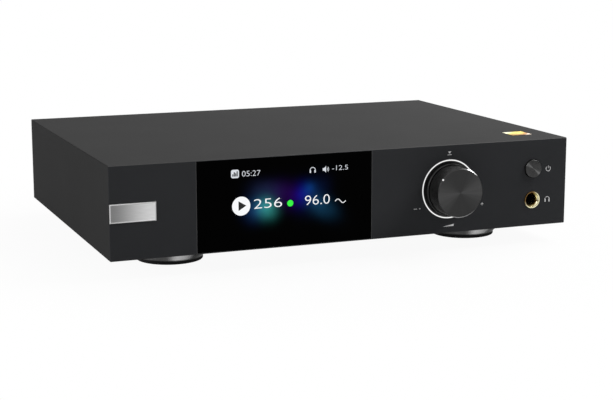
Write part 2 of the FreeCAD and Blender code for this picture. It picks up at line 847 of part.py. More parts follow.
def signal_chips():
    """Two like channels side by side, and the chips that serve both."""
    chips = []
    for x in channel_xs:
        chips.append(on_board(x, behind(converter_row), *converter_chip))
        chips += [
            on_board(x + s * amplifier_offset, behind(amplifier_row), *amplifier_chip) for s in (-1, 1)
        ]
    chips.append(on_board(analog_x, behind(converter_row), *clock_chip))
    chips.append(on_board(usb_x, behind(data_row), *data_chip))
    chips.append(on_board(optical_a_x - 3.0, behind(logic_row), *logic_chip))
    chips.append(on_board(flat_cable_x + 2.0, behind(screen_row), *screen_chip))
    return group(chips)


shield_wide, shield_deep, shield_tall = 26.0, 20.0, 5.0
shield_row = 88.0
shield_wall = 0.4


def clock_shield():
    """A folded tin over the clock crystals."""
    x, y = usb_x + 3.0, behind(shield_row)
    tin = on_board(x, y, shield_wide, shield_deep, shield_tall)
    inside_wide, inside_deep = shield_wide - 2 * shield_wall, shield_deep - 2 * shield_wall
    return tin.cut(on_board(x, y, inside_wide, inside_deep, shield_tall - shield_wall))


relay_wide, relay_deep, relay_tall = 15.0, 7.5, 9.0
relay_row = 30.0


def output_relays():
    return group([on_board(x, behind(relay_row), relay_wide, relay_deep, relay_tall) for x in channel_xs])


small_can_radius, small_can_tall = 5.0, 12.0
large_can_radius, large_can_tall = 6.3, 16.0
bulk_can_radius, bulk_can_tall = 9.0, 31.0
small_can_offset = 7.0
small_can_row, large_can_row, coax_can_row = 58.0, 100.0, 70.0


def can(x, y, radius, tall):
    """An electrolytic can: a rolled groove near its foot and a bevelled top."""
    z = board_top_z
    return lathed(x, y, [
        (0, z), (radius, z), (radius, z + 1.2), (radius - 0.4, z + 1.6), (radius, z + 2.0),
        (radius, z + tall - 0.4), (radius - 0.4, z + tall), (0, z + tall),
    ])


def filter_capacitors():
    cans = [
        can(x + s * small_can_offset, behind(small_can_row), small_can_radius, small_can_tall)
        for x in channel_xs
        for s in (-1, 1)
    ]
    cans += [
        can(x, behind(large_can_row), large_can_radius, large_can_tall) for x in channel_xs + (analog_x,)
    ]
    cans.append(can(coax_x, behind(coax_can_row), large_can_radius, large_can_tall))
    bulk_x = bulk_can_radius + 5.0 - board_side_x
    cans.append(can(bulk_x, board_front_y + bulk_can_radius + 7.0, bulk_can_radius, bulk_can_tall))
    return group(cans)


core_wide, core_deep, core_tall = 30.0, 26.0, 26.0
core_limb = 4.0
bobbin_gap = 0.2
bobbin_deep = 36.0
bobbin_end = 3.0
transformer_x = -0.533 * half_width
transformer_row = 84.0
choke_ring_radius, choke_wire_radius = 8.0, 4.0
choke_row = 45.0
choke_foot = 4.0


def power_transformer():
    """A ferrite core, open front to back for its bobbin."""
    y = behind(transformer_row)
    core = on_board(transformer_x, y, core_wide, core_deep, core_tall)
    window_wide, window_tall = core_wide - 2 * core_limb, core_tall - 2 * core_limb
    return core.cut(on_board(transformer_x, y, window_wide, bobbin_deep, window_tall, core_limb))


def wound_coils():
    """The transformer's bobbin, through its core, and a ring-shaped choke on its foot."""
    y = behind(transformer_row)
    wide = core_wide - 2 * (core_limb + bobbin_gap)
    low = core_limb + bobbin_gap
    coil = on_board(transformer_x, y, wide, bobbin_deep, core_tall - 2 * low, low)
    reach = (bobbin_deep - bobbin_end) / 2
    ends = [on_board(transformer_x, y + s * reach, wide, bobbin_end, low) for s in (-1, 1)]
    choke_x, choke_y = choke_ring_radius * 2 - board_side_x, behind(choke_row)
    choke_z = board_top_z + choke_ring_radius + choke_wire_radius + 1.0
    torus = Part.makeTorus(choke_ring_radius, choke_wire_radius, V(choke_x, choke_y, choke_z), Y_AXIS)
    foot = on_board(choke_x, choke_y, choke_ring_radius * 1.75, choke_wire_radius * 2.25, choke_foot)
    return group([joined([coil] + ends), joined([torus, foot])])


sink_wide, sink_tall = 34.4, 26.0
sink_plate, sink_fin, sink_fin_deep = 3.0, 1.4, 7.0
sink_fins = 7
sink_row = 60.0


def heat_sink():
    """A finned plate that stands behind the transformer."""
    y = behind(sink_row)
    pitch = (sink_wide - sink_fin) / (sink_fins - 1)
    first = transformer_x - (sink_wide - sink_fin) / 2
    parts = [on_board(transformer_x, y, sink_wide, sink_plate, sink_tall)]
    parts += [
        on_board(first + k * pitch, y + sink_fin_deep / 2, sink_fin, sink_fin_deep, sink_tall)
        for k in range(sink_fins)
    ]
    return joined(parts)


# ---------------------------------------------------------------- rear sockets
phono_boss_proud = 1.0


def phono_block(x):
    """A moulded body for two phono sockets, one above the other, with a boss for each."""
    y0 = rear_in_y - 11.0
    top = base_z + phono_high + phono_boss_radius + 2.0
    body = box(x - 7.0, x + 7.0, y0, rear_in_y, board_top_z, top)
    bosses = [
        rod(x, base_z + h, phono_boss_radius, rear_in_y - 1, rear_y + phono_boss_proud)
        for h in (phono_low, phono_high)
    ]
    holes = [
        rod(x, base_z + h, phono_root_radius + 0.02, y0 + 2.0, rear_y + 2) for h in (phono_low, phono_high)
    ]
    return joined([body] + bosses).cut(holes)


def phono_blocks():
    return group([phono_block(analog_x), phono_block(coax_x)])


phono_wall = 0.6
phono_recess = 0.5


def phono_barrel(x, z):
    tip = rear_y + socket_reach
    start = rear_in_y - 9.0
    root_end = rear_y + phono_boss_proud + 0.2
    inner = phono_radius - phono_wall
    return turned(x, z, [
        (inner, start), (phono_root_radius, start), (phono_root_radius, root_end), (phono_radius, root_end),
        (phono_radius, tip - 0.4), (phono_radius - 0.3, tip), (inner, tip),
    ])


def phono_insert(x, z):
    """The coloured plug of plastic in a barrel, bored for the centre pin."""
    tip = rear_y + socket_reach - phono_recess
    start = rear_in_y - 9.0
    insert = rod(x, z, phono_radius - phono_wall - 0.02, start, tip)
    return insert.cut(rod(x, z, phono_bore_radius, rear_y - 1.0, tip + 1))


def phono_barrels():
    return group([phono_barrel(x, base_z + h) for x in (analog_x, coax_x) for h in (phono_low, phono_high)])


def phono_inserts():
    return group([phono_insert(x, base_z + h) for x in (analog_x, coax_x) for h in (phono_low, phono_high)])


xlr_flange_wide, xlr_flange_tall, xlr_flange_thick = 26.0, 31.0, 2.0
xlr_bore_radius = 9.7
xlr_depth = 20.0
xlr_cavity = 14.5
xlr_pin_circle = 4.0
xlr_pin_radius = 1.2
xlr_pin_angles = (60.0, 120.0, 270.0)


def xlr_shell(x):
    flange = block(x, mid_z, xlr_flange_wide, xlr_flange_tall, rear_y, rear_y + xlr_flange_thick)
    upright = [e for e in flange.Edges if close(e.Length, xlr_flange_thick)]
    flange = flange.makeFillet(3.0, upright)
    tube = rod(x, mid_z, xlr_hole_radius - panel_gap, rear_y - xlr_depth, rear_y + 0.5)
    lip = rod(x, mid_z, xlr_bore_radius + 1.3, rear_y, rear_y + xlr_flange_thick + 0.8)
    cavity = rod(x, mid_z, xlr_bore_radius, rear_y + xlr_flange_thick + 0.8 - xlr_cavity, rear_y + 5)
    screws = [
        rod(x + s * xlr_screw_x, mid_z + s * xlr_screw_z, m3_hole, rear_y - 1, rear_y + 5) for s in (-1, 1)
    ]
    pins = [
        rod(px, pz, xlr_pin_radius + 0.02, rear_y - xlr_depth - 1, rear_y) for px, pz in xlr_pin_places(x)
    ]
    return joined([flange, tube, lip]).cut([cavity] + screws + pins)


def xlr_pin_places(x):
    """Three contacts round the socket's axis."""
    turn = [math.radians(a) for a in xlr_pin_angles]
    return [(x + xlr_pin_circle * math.cos(a), mid_z + xlr_pin_circle * math.sin(a)) for a in turn]


def xlr_shells():
    return group([xlr_shell(x) for x in (xlr_left_x, xlr_right_x)])


def xlr_pins():
    pins = []
    for x in (xlr_left_x, xlr_right_x):
        for px, pz in xlr_pin_places(x):
            tip = rear_y + xlr_flange_thick - 1.0
            pin = rod(px, pz, xlr_pin_radius, rear_y - xlr_depth - 3.0, tip)
            pins.append(
                pin.makeChamfer(0.4, [e for e in pin.Edges if e.Closed and close(e.BoundBox.Center.y, tip)])
            )
    return group(pins)


usb_depth = 16.5
usb_mouth_wide, usb_mouth_tall = 8.5, 7.8
usb_proud = 0.6
usb_cavity = 10.0


def usb_socket():
    """A folded shell and, as a second solid, the tongue that carries its contacts."""
    y1 = rear_y + usb_proud
    shell = block(usb_x, usb_z, usb_wide, usb_tall, y1 - usb_depth, y1)
    shell = shell.makeChamfer(0.4, [e for e in shell.Edges if close(e.Length, usb_depth)])
    mouth = block(usb_x, usb_z, usb_mouth_wide, usb_mouth_tall, y1 - usb_cavity, y1 + 1)
    mouth = mouth.makeChamfer(
        1.6, [e for e in mouth.Edges if close(e.Length, usb_cavity + 1) and e.BoundBox.Center.z > usb_z]
    )
    return group([shell.cut(mouth), block(usb_x, usb_z, 5.6, 3.2, y1 - usb_cavity, y1 - 1.2)])


optical_depth = 15.5
optical_proud = 0.8
optical_mouth_wide, optical_mouth_tall = 7.6, 7.4
flap_thick = 0.8
flap_hinge_drop = 0.75  # of the hinge below the mouth's ceiling
flap_inset = 3.5  # of the hinge behind the socket's face
flap_pin_radius = 0.35
optical_cavity = 12.0
flap_z = optical_z + optical_mouth_tall / 2 - flap_hinge_drop
flap_y = rear_y + optical_proud - flap_inset


def optical_socket(x):
    y1 = rear_y + optical_proud
    body = block(x, optical_z, optical_wide, optical_tall, y1 - optical_depth, y1)
    mouth = block(x, optical_z, optical_mouth_wide, optical_mouth_tall, y1 - optical_cavity, y1 + 1)
    pivots = Part.makeCylinder(
        flap_pin_radius + 0.05, optical_mouth_wide + 1.2,
        V(x - optical_mouth_wide / 2 - 0.6, flap_y, flap_z), X_AXIS
    )
    lens = rod(x, optical_z - 0.6, 1.5, y1 - optical_cavity - 0.5, y1 - optical_cavity + 1.5)
    return joined([body.cut([mouth, pivots]), lens])


def optical_sockets():
    return group([optical_socket(x) for x in (optical_a_x, optical_b_x)])


def optical_flap(x):
    """A sprung shutter on a pin along its top edge."""
    half = optical_mouth_wide / 2 - 0.15
    bottom = optical_z - optical_mouth_tall / 2 + 0.15
    leaf = box(x - half, x + half, flap_y - flap_thick / 2, flap_y + flap_thick / 2, bottom, flap_z)
    knuckle = Part.makeCylinder(flap_thick / 2, 2 * half, V(x - half, flap_y, flap_z), X_AXIS)
    pin = Part.makeCylinder(flap_pin_radius, 2 * half + 1.2, V(x - half - 0.6, flap_y, flap_z), X_AXIS)
    return joined([leaf, knuckle, pin])


def optical_flap_a():
    return optical_flap(optical_a_x)


def optical_flap_b():
    return optical_flap(optical_b_x)


antenna_length = 8.0
antenna_body = 9.0


def antenna_socket():
    """A small threaded aerial socket and its nut."""
    z = base_z + antenna_height
    tip = rear_y + antenna_length
    root = rod(
        antenna_x, z, antenna_root_radius, rear_in_y - antenna_body, rear_y + antenna_nut_thick + 0.2
    )
    barrel = rod(antenna_x, z, antenna_radius, rear_y, tip)
    shoulder = block(antenna_x, z, 8.0, 8.0, rear_in_y - antenna_body, rear_in_y)
    throat = rod(antenna_x, z, 2.2, tip - 4.0, tip + 1)
    contact = rod(antenna_x, z, 0.9, tip - 4.5, tip - 0.8)
    nut = aimed(hexagon(8.0, antenna_nut_thick), V(antenna_x, rear_y, z), Y_AXIS)
    nut = nut.cut(rod(antenna_x, z, antenna_root_radius + 0.02, rear_y - 1, tip))
    return group([joined([joined([root, barrel, shoulder]).cut(throat), contact]), nut])


inlet_flange_wide, inlet_flange_tall, inlet_flange_thick = 48.0, 22.6, 2.4
inlet_mouth_wide, inlet_mouth_tall = 24.4, 16.6
inlet_depth = 21.0
inlet_cavity = 18.0
inlet_pins_at = ((-7.0, -1.5), (7.0, -1.5), (0.0, 1.5))


def mains_inlet():
    flange = block(
        inlet_x, mid_z, inlet_flange_wide, inlet_flange_tall, rear_y, rear_y + inlet_flange_thick
    )
    flange = flange.makeFillet(6.0, [e for e in flange.Edges if close(e.Length, inlet_flange_thick)])
    body = block(
        inlet_x, mid_z, inlet_hole_wide - 2 * panel_gap, inlet_hole_tall - 2 * panel_gap,
        rear_y - inlet_depth, rear_y + 1
    )
    y1 = rear_y + inlet_flange_thick
    mouth = block(inlet_x, mid_z, inlet_mouth_wide, inlet_mouth_tall, y1 - inlet_cavity, y1 + 1)
    mouth = mouth.makeChamfer(
        4.0, [e for e in mouth.Edges if close(e.Length, inlet_cavity + 1) and e.BoundBox.Center.z > mid_z]
    )
    cuts = [mouth] + [rod(inlet_x + s * inlet_screw_x, mid_z, m3_hole, rear_y - 1, y1 + 1) for s in (-1, 1)]
    cuts += [
        block(inlet_x + dx, mid_z + dz, 2.04, 4.04, rear_y - inlet_depth - 1, y1 - inlet_cavity + 1)
        for dx, dz in inlet_pins_at
    ]
    return joined([flange, body]).cut(cuts)


inlet_pin_setback = 3.0
inlet_tab = 8.0

rocker_bezel = 1.5
rocker_rim = 1.4
rocker_depth = 16.0
rocker_tab = 8.0
rocker_arm = 8.6
rocker_wide = 10.2
rocker_tilt = 8.0
rocker_pivot_radius = 1.2
rocker_pivot_y = rear_y - 1.0


def rocker_frame():
    y1 = rear_y + rocker_rim
    rim = block(
        rocker_x, mid_z, rocker_hole_wide + 2 * rocker_bezel, rocker_hole_tall + 2 * rocker_bezel,
        rear_y, y1
    )
    rim = rim.makeChamfer(0.5, edges_at(rim, lambda p: close(p.y, y1)))
    body = block(
        rocker_x, mid_z, rocker_hole_wide - 0.2, rocker_hole_tall - 0.2, rear_y - rocker_depth, rear_y + 0.5
    )
    well = block(
        rocker_x, mid_z, rocker_wide + 0.6, 2 * rocker_arm + 0.6, rear_y - rocker_depth + 2.0, y1 + 1
    )
    pivot = Part.makeCylinder(
        rocker_pivot_radius + shaft_gap, rocker_wide + 2.0,
        V(rocker_x - rocker_wide / 2 - 1.0, rocker_pivot_y, mid_z), X_AXIS
    )
    return joined([rim, body]).cut([well, pivot])


def rocker_paddle():
    """A paddle with round ends about its pivot and a shallow V for its face, tipped to one side."""
    half = rocker_wide / 2
    disc = Part.makeCylinder(rocker_arm, rocker_wide, V(rocker_x - half, rocker_pivot_y, mid_z), X_AXIS)
    low, high, valley = -3.2, 4.4, 2.4
    reach = rocker_arm + 1
    rows = [(low, -reach), (high, -reach), (valley, 0), (high, reach), (low, reach)]
    outline = [V(rocker_x - half, rocker_pivot_y + dy, mid_z + dz) for dy, dz in rows]
    slab = Part.Face(Part.makePolygon(outline + outline[:1])).extrude(X_AXIS * rocker_wide)
    pins = Part.makeCylinder(
        rocker_pivot_radius, rocker_wide + 1.6, V(rocker_x - half - 0.8, rocker_pivot_y, mid_z), X_AXIS
    )
    paddle = joined([disc.common(slab), pins])
    paddle.rotate(V(rocker_x, rocker_pivot_y, mid_z), X_AXIS, -rocker_tilt)
    return paddle


def mains_terminals():
    """The inlet's three blades, with their tabs, and the two tabs behind the switch."""
    y0 = rear_y - inlet_depth - inlet_tab
    y1 = rear_y + inlet_flange_thick - inlet_pin_setback
    blades = [block(inlet_x + dx, mid_z + dz, 2.0, 4.0, y0, y1) for dx, dz in inlet_pins_at]
    back = rear_y - rocker_depth
    return group(
        blades + [block(rocker_x, mid_z + dz, 4.8, 0.8, back - rocker_tab, back) for dz in (-5.0, 5.0)]
    )


# ---------------------------------------------------------------- leads inside the case
def bent_path(points):
    """Straight runs joined by tangent arcs, each as large as its two runs allow."""
    edges, start = [], points[0]
    for before, corner, after in zip(points, points[1:], points[2:]):
        into, out = corner - before, after - corner
        shorter = min(into.Length, out.Length)
        turn = into.getAngle(out)
        back = 0.45 * shorter
        u, w = V(into).normalize(), V(out).normalize()
        first, last = corner - u * back, corner + w * back
        radius = back / math.tan(turn / 2)
        centre_way = (w - u).normalize()
        middle = corner + centre_way * (math.hypot(back, radius) - radius)
        edges.append(Part.makeLine(start, first))
        edges.append(Part.Arc(first, middle, last).toShape())
        start = last
    edges.append(Part.makeLine(start, points[-1]))
    return Part.Wire(edges)


def wire(points, radius):
    path = bent_path(points)
    way = (points[1] - points[0]).normalize()
    section = Part.Wire(Part.makeCircle(radius, points[0], way))
    return path.makePipeShell([section], True, False)


mains_lead_radius = 1.1
supply_lead_radius = 0.8
lead_gap = 0.05
supply_plug_y = board_front_y + 22.0
supply_from_x = power_board_box[1] - 6.0
supply_to_x = main_board_box[0] + 7.0
supply_count = 5
supply_pitch = 2.6
supply_plug_tall = 7.0


def mains_leads():
    """Leads from the inlet's blades to the switch and to the power board."""
    blade_y = rear_y - inlet_depth - inlet_tab
    tab_y = rear_y - rocker_depth - rocker_tab
    z = mid_z - 1.5
    x = inlet_x + 7.0
    to_switch = wire([
        V(x, blade_y - lead_gap, z), V(x, blade_y - 7.0, z), V(x + 13.0, blade_y - 9.0, z + 2.0),
        V(rocker_x, blade_y - 5.0, mid_z - 5.0), V(rocker_x, tab_y - lead_gap, mid_z - 5.0),
    ], mains_lead_radius)
    x = inlet_x - 7.0
    to_board = wire([
        V(x, blade_y - lead_gap, z), V(x, blade_y - 5.0, z), V(x, blade_y - 7.5, z - 5.0),
        V(x, blade_y - 7.5, board_top_z + lead_gap),
    ], mains_lead_radius)
    return [to_switch, to_board]


def supply_leads():
    """A row of thin leads that arch from the power board to the main board."""
    leads = []
    z = board_top_z + supply_plug_tall
    middle = (supply_from_x + supply_to_x) / 2
    for k in range(supply_count):
        y = supply_plug_y + (k - (supply_count - 1) / 2) * supply_pitch
        leads.append(wire([
            V(supply_from_x, y, z + lead_gap), V(supply_from_x, y, z + 7.0), V(middle, y, z + 11.0),
            V(supply_to_x, y, z + 7.0), V(supply_to_x, y, z + lead_gap),
        ], supply_lead_radius))
    return leads


def inner_leads():
    return group(mains_leads() + supply_leads())


def board_headers():
    """Sockets on the boards for the supply leads and for the screen's flat cable."""
    wide = supply_count * supply_pitch + 2.0
    plugs = [on_board(x, supply_plug_y, 5.0, wide, supply_plug_tall) for x in (supply_from_x, supply_to_x)]
    return group(plugs + [on_board(flat_cable_x, flat_cable_end_y + 2.5, flat_cable_width + 4.0, 5.0, 4.0)])


def display_cable():
    """A flat cable from the screen's back, through the bracket, down and back to the main board."""
    y0 = fascia_back_y
    knee_y = y0 + 9.0
    low = board_top_z + 2.0
    foot_y = knee_y + (mid_z - low) * 0.5
    t = flat_cable_thick
    rows = [
        (y0, mid_z), (knee_y, mid_z), (foot_y, low), (flat_cable_end_y, low),
        (flat_cable_end_y, low - t), (foot_y - t / 2, low - t), (knee_y - t / 2, mid_z - t),
        (y0, mid_z - t),
    ]
    points = [V(flat_cable_x - flat_cable_width / 2, y, z) for y, z in rows]
    return Part.Face(Part.makePolygon(points + points[:1])).extrude(X_AXIS * flat_cable_width)


# ---------------------------------------------------------------- screws of the case
def countersunk_screw(x, y):
    head = Part.makeCone(m3_head_radius, m3_radius, countersink, V(x, y, base_z), Z_AXIS)
    shank = post(x, y, m3_radius, base_z, floor_z + cover_screw_length - 1.0)
    socket = hexagon(2.0, 1.2)
    socket.translate(V(x, y, base_z))
    return joined([head, shank]).cut(socket)


def case_screws():
    """Every screw seen from outside: into the cover's rails and lugs, and round the rear sockets."""
    screws = [countersunk_screw(x, y) for x in (-rail_x, rail_x) for y in cover_screw_ys]
    screws += [
        screw(V(x, rear_y, z), -Y_AXIS, rear_thick + cover_screw_length - 1.0) for x, z in corner_screws_at
    ]
    for x in (xlr_left_x, xlr_right_x):
        for s in (-1, 1):
            seat = V(x + s * xlr_screw_x, rear_y + xlr_flange_thick, mid_z + s * xlr_screw_z)
            screws.append(screw(seat, -Y_AXIS, 7.0))
    screws += [
        screw(V(inlet_x + s * inlet_screw_x, rear_y + inlet_flange_thick, mid_z), -Y_AXIS, 8.0)
        for s in (-1, 1)
    ]
    return group(screws)


def inner_screws():
    """Screws of the fascia, the bracket and the two flat boards."""
    down = -Z_AXIS
    screws = [
        screw(V(x, bracket_back_y, z), -Y_AXIS, bracket_thick + fascia_screw_depth - 0.5)
        for x, z in fascia_screws_at
    ]
    flange_z = floor_z + bracket_thick
    screws += [
        screw(V(x, bracket_screw_y, flange_z), down, bracket_thick + base_thick - 0.3)
        for x in bracket_screw_xs
    ]
    screws += [
        screw(V(x, y, board_top_z), down, board_thick + standoff_height - 1.0) for x, y in standoff_places
    ]
    return group(screws)


# ---------------------------------------------------------------- every sub-part, by its node's name
sub_parts = [
    front_panel, display_glass, display_module, badge_plate, foil_label,
    top_cover, base_plate, rear_panel, front_bracket,
    foot_shells, foot_pads, foot_screws,
    light_ring, dial_base, ring_light_board,
    encoder_housing, encoder_bushing, bushing_nut, encoder_rotor, encoder_switch_pin,
    volume_knob, knob_index_dot, knob_set_screw, knob_shaft,
    front_board, power_switch, power_switch_pin, power_button,
    jack_collar, jack_body, jack_contacts,
    main_board, power_board, board_standoffs, board_headers, signal_chips, clock_shield, output_relays,
    filter_capacitors, power_transformer, wound_coils, heat_sink,
    phono_blocks, phono_barrels, phono_inserts, xlr_shells, xlr_pins, usb_socket,
    optical_sockets, optical_flap_a, optical_flap_b, antenna_socket,
    mains_inlet, mains_terminals, rocker_frame, rocker_paddle,
    inner_leads, display_cable, case_screws, inner_screws,
]


def main():
    os.makedirs("parts", exist_ok=True)
    for make in sub_parts:
        shape = make()
        if not shape.isValid() or not all(solid.isClosed() for solid in shape.Solids) or not shape.Solids:
            raise SystemExit(f"{make.__name__} is not a closed, valid solid")
        shape.exportStep(f"parts/{make.__name__}.step")


main()
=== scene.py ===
import json
import math
import bmesh
import bpy
from mathutils import Matrix, Vector


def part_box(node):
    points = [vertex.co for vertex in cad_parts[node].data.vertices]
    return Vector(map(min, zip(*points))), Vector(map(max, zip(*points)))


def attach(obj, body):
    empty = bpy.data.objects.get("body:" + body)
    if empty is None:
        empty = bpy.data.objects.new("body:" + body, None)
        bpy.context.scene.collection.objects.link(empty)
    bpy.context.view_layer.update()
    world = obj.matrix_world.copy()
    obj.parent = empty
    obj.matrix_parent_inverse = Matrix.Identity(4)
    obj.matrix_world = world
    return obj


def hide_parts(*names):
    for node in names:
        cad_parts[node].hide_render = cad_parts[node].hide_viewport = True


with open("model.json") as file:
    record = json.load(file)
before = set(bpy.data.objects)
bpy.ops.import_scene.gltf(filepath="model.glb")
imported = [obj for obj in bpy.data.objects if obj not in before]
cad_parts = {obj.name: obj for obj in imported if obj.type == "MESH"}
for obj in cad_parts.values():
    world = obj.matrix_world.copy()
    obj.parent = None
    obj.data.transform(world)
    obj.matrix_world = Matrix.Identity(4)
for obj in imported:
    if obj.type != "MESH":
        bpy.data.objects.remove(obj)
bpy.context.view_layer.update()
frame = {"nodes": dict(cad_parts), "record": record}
MM = 0.001
PRINT_MM = 0.02  # how thick printed marks and lit figures are
STROKE_THINNED = -0.012  # how far the outline of a figure is drawn in, in shares of the letter size
LARGEST_TURN = 1.0  # how far repeated screws and feet may be turned by chance, in radians

# ---------------------------------------------------------------- places, from the solids
panel_lo, panel_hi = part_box("front_panel")
FRONT = panel_lo.y
CASE_Z0, CASE_Z1 = panel_lo.z, panel_hi.z
MID_Z = (CASE_Z0 + CASE_Z1) / 2
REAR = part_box("rear_panel")[1].y


def centre(node):
    """The middle of a node's box."""
    lo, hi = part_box(node)
    return (lo + hi) / 2


KNOB = centre("volume_knob")
BUTTON = centre("power_button")
JACK = centre("jack_collar")
GLASS = centre("display_glass")
GLASS_HALF_MM = (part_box("display_glass")[1].x - GLASS.x) / MM


# ---------------------------------------------------------------- finishes
class Signal:
    """One number in a finish, so that a finish can be written as sums."""

    def __init__(self, finish, socket):
        self.finish = finish
        self.socket = socket

    def maths(self, operation, *values):
        return self.finish.node("ShaderNodeMath", {"operation": operation}, values)

    def __add__(self, other):
        return self.maths("ADD", self, other)

    def __sub__(self, other):
        return self.maths("SUBTRACT", self, other)

    def __rsub__(self, other):
        return self.maths("SUBTRACT", other, self)

    def __mul__(self, other):
        return self.maths("MULTIPLY", self, other)

    def __truediv__(self, other):
        return self.maths("DIVIDE", self, other)

    def __pow__(self, other):
        return self.maths("POWER", self, other)

    def __gt__(self, other):
        return self.maths("GREATER_THAN", self, other)

    def __lt__(self, other):
        return self.maths("LESS_THAN", self, other)

    def __neg__(self):
        return self * -1.0

    __radd__ = __add__
    __rmul__ = __mul__

    def sized(self):
        return self.maths("ABSOLUTE", self)

    def sine(self):
        return self.maths("SINE", self)

    def cosine(self):
        return self.maths("COSINE", self)

    def exp(self):
        return self.maths("EXPONENT", self)

    def ramp(self, low, high):
        """0 at low, 1 at high, with a smooth turn between them."""
        return self.finish.node(
            "ShaderNodeMapRange", {"interpolation_type": "SMOOTHSTEP"}, [self, low, high, 0.0, 1.0]
        )


class Finish:
    """A material built from nodes, with the surface's own place as its measure."""

    def __init__(self, name):
        self.material = bpy.data.materials.new(name)
        self.material.use_nodes = True
        self.tree = self.material.node_tree
        self.tree.nodes.clear()
        self.out = self.tree.nodes.new("ShaderNodeOutputMaterial")
        self.place = self.node("ShaderNodeTexCoord", {}, [], "Object")

    def node(self, kind, settings, values, output=0):
        """A node of a kind, with its settings, then its inputs by number or name, as one of its outputs."""
        made = self.tree.nodes.new(kind)
        for key, value in settings.items():
            setattr(made, key, value)
        pairs = values.items() if isinstance(values, dict) else enumerate(values)
        for key, value in pairs:
            self.feed(made.inputs[key], value)
        return Signal(self, made.outputs[output])

    def feed(self, socket, value):
        """Link a signal to a socket, or set the socket to a number, a vector or an opaque colour."""
        if isinstance(value, Signal):
            self.tree.links.new(value.socket, socket)
        elif socket.type == "RGBA" and len(value) == 3:
            socket.default_value = (*value, 1)
        else:
            socket.default_value = value

    def moved(self, at, scale):
        """The place, measured from a point, then stretched."""
        start = self.vector("SUBTRACT", self.place, tuple(at))
        return self.node("ShaderNodeMapping", {}, {"Vector": start, "Scale": scale})

    def axes(self, at=(0, 0, 0)):
        """Place along x, y and z from a point, in millimetres."""
        start = self.moved(at, (1000, 1000, 1000))
        return [self.node("ShaderNodeSeparateXYZ", {}, [start], k) for k in range(3)]

    def noise(self, size_mm, detail=2.0, stretch=(1, 1, 1), at=(0, 0, 0)):
        """A cloudy pattern with spots of a size, drawn out along an axis whose stretch is small."""
        scale = tuple(s / (size_mm * MM) for s in stretch)
        values = {"Vector": self.moved(at, scale), "Scale": 1.0, "Detail": detail, "Roughness": 0.5}
        return self.node("ShaderNodeTexNoise", {}, values)

    def cells(self, size_mm):
        """How far it is to the nearest of many scattered points, about a size apart."""
        scale = (1 / (size_mm * MM),) * 3
        values = {"Vector": self.moved((0, 0, 0), scale), "Scale": 1.0}
        return self.node("ShaderNodeTexVoronoi", {"feature": "F1"}, values)

    def blend(self, factor, a, b, way="MIX"):
        """Colour a where factor is 0 and colour b where it is 1, or the two added by the factor."""
        settings = {"data_type": "RGBA", "blend_type": way}
        return self.node("ShaderNodeMix", settings, {0: factor, 6: a, 7: b}, 2)

    def bump(self, height, depth_mm):
        """The normal over fine relief, from a pattern and how deep it goes."""
        return self.node("ShaderNodeBump", {}, {"Height": height, "Distance": depth_mm * MM, "Strength": 1.0})

    def vector(self, operation, *values, output=0):
        return self.node("ShaderNodeVectorMath", {"operation": operation}, values, output)

    def grooved(self, at, line, slope):
        """The normal, tipped to and fro across the fine circles that turning leaves round a Y axis."""
        x, _, z = self.axes(at)
        around = self.vector("NORMALIZE", self.node("ShaderNodeCombineXYZ", {}, [-z, 0.0, x]))
        straight = self.node("ShaderNodeNewGeometry", {}, [], "Normal")
        tipped = self.vector("SCALE", self.vector("CROSS_PRODUCT", straight, around))
        self.feed(tipped.socket.node.inputs["Scale"], line * slope)
        return self.vector("NORMALIZE", self.vector("ADD", straight, tipped))

    def shader(self, **values):
        """The main surface, from socket names with _ for a space."""
        named = {key.replace("_", " "): value for key, value in values.items()}
        made = self.node("ShaderNodeBsdfPrincipled", {}, named)
        self.feed(self.out.inputs["Surface"], made)
        return self.material


def grey(level, tint=(1, 1, 1)):
    """A screen grey from 0 to 255, as the linear colour a shader takes."""
    c = level / 255
    linear = c / 12.92 if c <= 0.04045 else ((c + 0.055) / 1.055) ** 2.4
    return tuple(linear * t for t in tint)


def near(value, centre_at, half, soft=0.05):
    """1 within half of a place, 0 outside, with a soft edge."""
    return 1.0 - (value - centre_at).sized().ramp(half - soft, half + soft)


def blasted_aluminium():
    """Dark anodised metal with a fine blasted grain; on the fascia, painted highlights along its top and
    bottom bevel and beside the window, and painted shade that darkens its face towards the right.
    """
    f = Finish("blasted_aluminium")
    x, y, z = f.axes((0, FRONT, MID_Z))
    fine = f.noise(0.12, 2.0)
    cloud = f.noise(35.0, 3.0)
    half_z = (CASE_Z1 - CASE_Z0) / 2 / MM
    face = y < 0.33
    # painted highlight: the fascia's top and bottom bevel is coloured a lighter grey
    painted_bevel_highlight = (z.sized() > half_z - 0.33) * (z.sized() < half_z - 0.02) * (y > 0.02) * face
    # painted highlight: a pale line along the panel's edge beside the window
    painted_window_edge_highlight = near((x - GLASS.x / MM).sized(), GLASS_HALF_MM + 0.25, 0.2) * (y < 0.1)
    mix = fine * 0.5 + cloud * 0.5
    cool = (0.97, 1.0, 1.06)
    # painted shade: the fascia's face goes from a lighter grey at the left to a darker one at the right
    painted_lit_face_left = f.blend(mix, grey(54, cool), grey(64, cool))
    painted_shaded_face_right = f.blend(mix, grey(49, cool), grey(59, cool))
    shell_tone = f.blend(mix, grey(50), grey(60))
    tone = f.blend(face, shell_tone, f.blend(x.ramp(-60.0, 150.0), painted_lit_face_left, painted_shaded_face_right))
    colour = f.blend(painted_window_edge_highlight * 0.6, f.blend(painted_bevel_highlight, tone, grey(78)), grey(92))
    rough = 0.6 + cloud * 0.06 + fine * 0.06 - painted_bevel_highlight * 0.2
    return f.shader(Base_Color=colour, Metallic=0.0, Roughness=rough, Normal=f.bump(fine, 0.012), IOR=1.02)


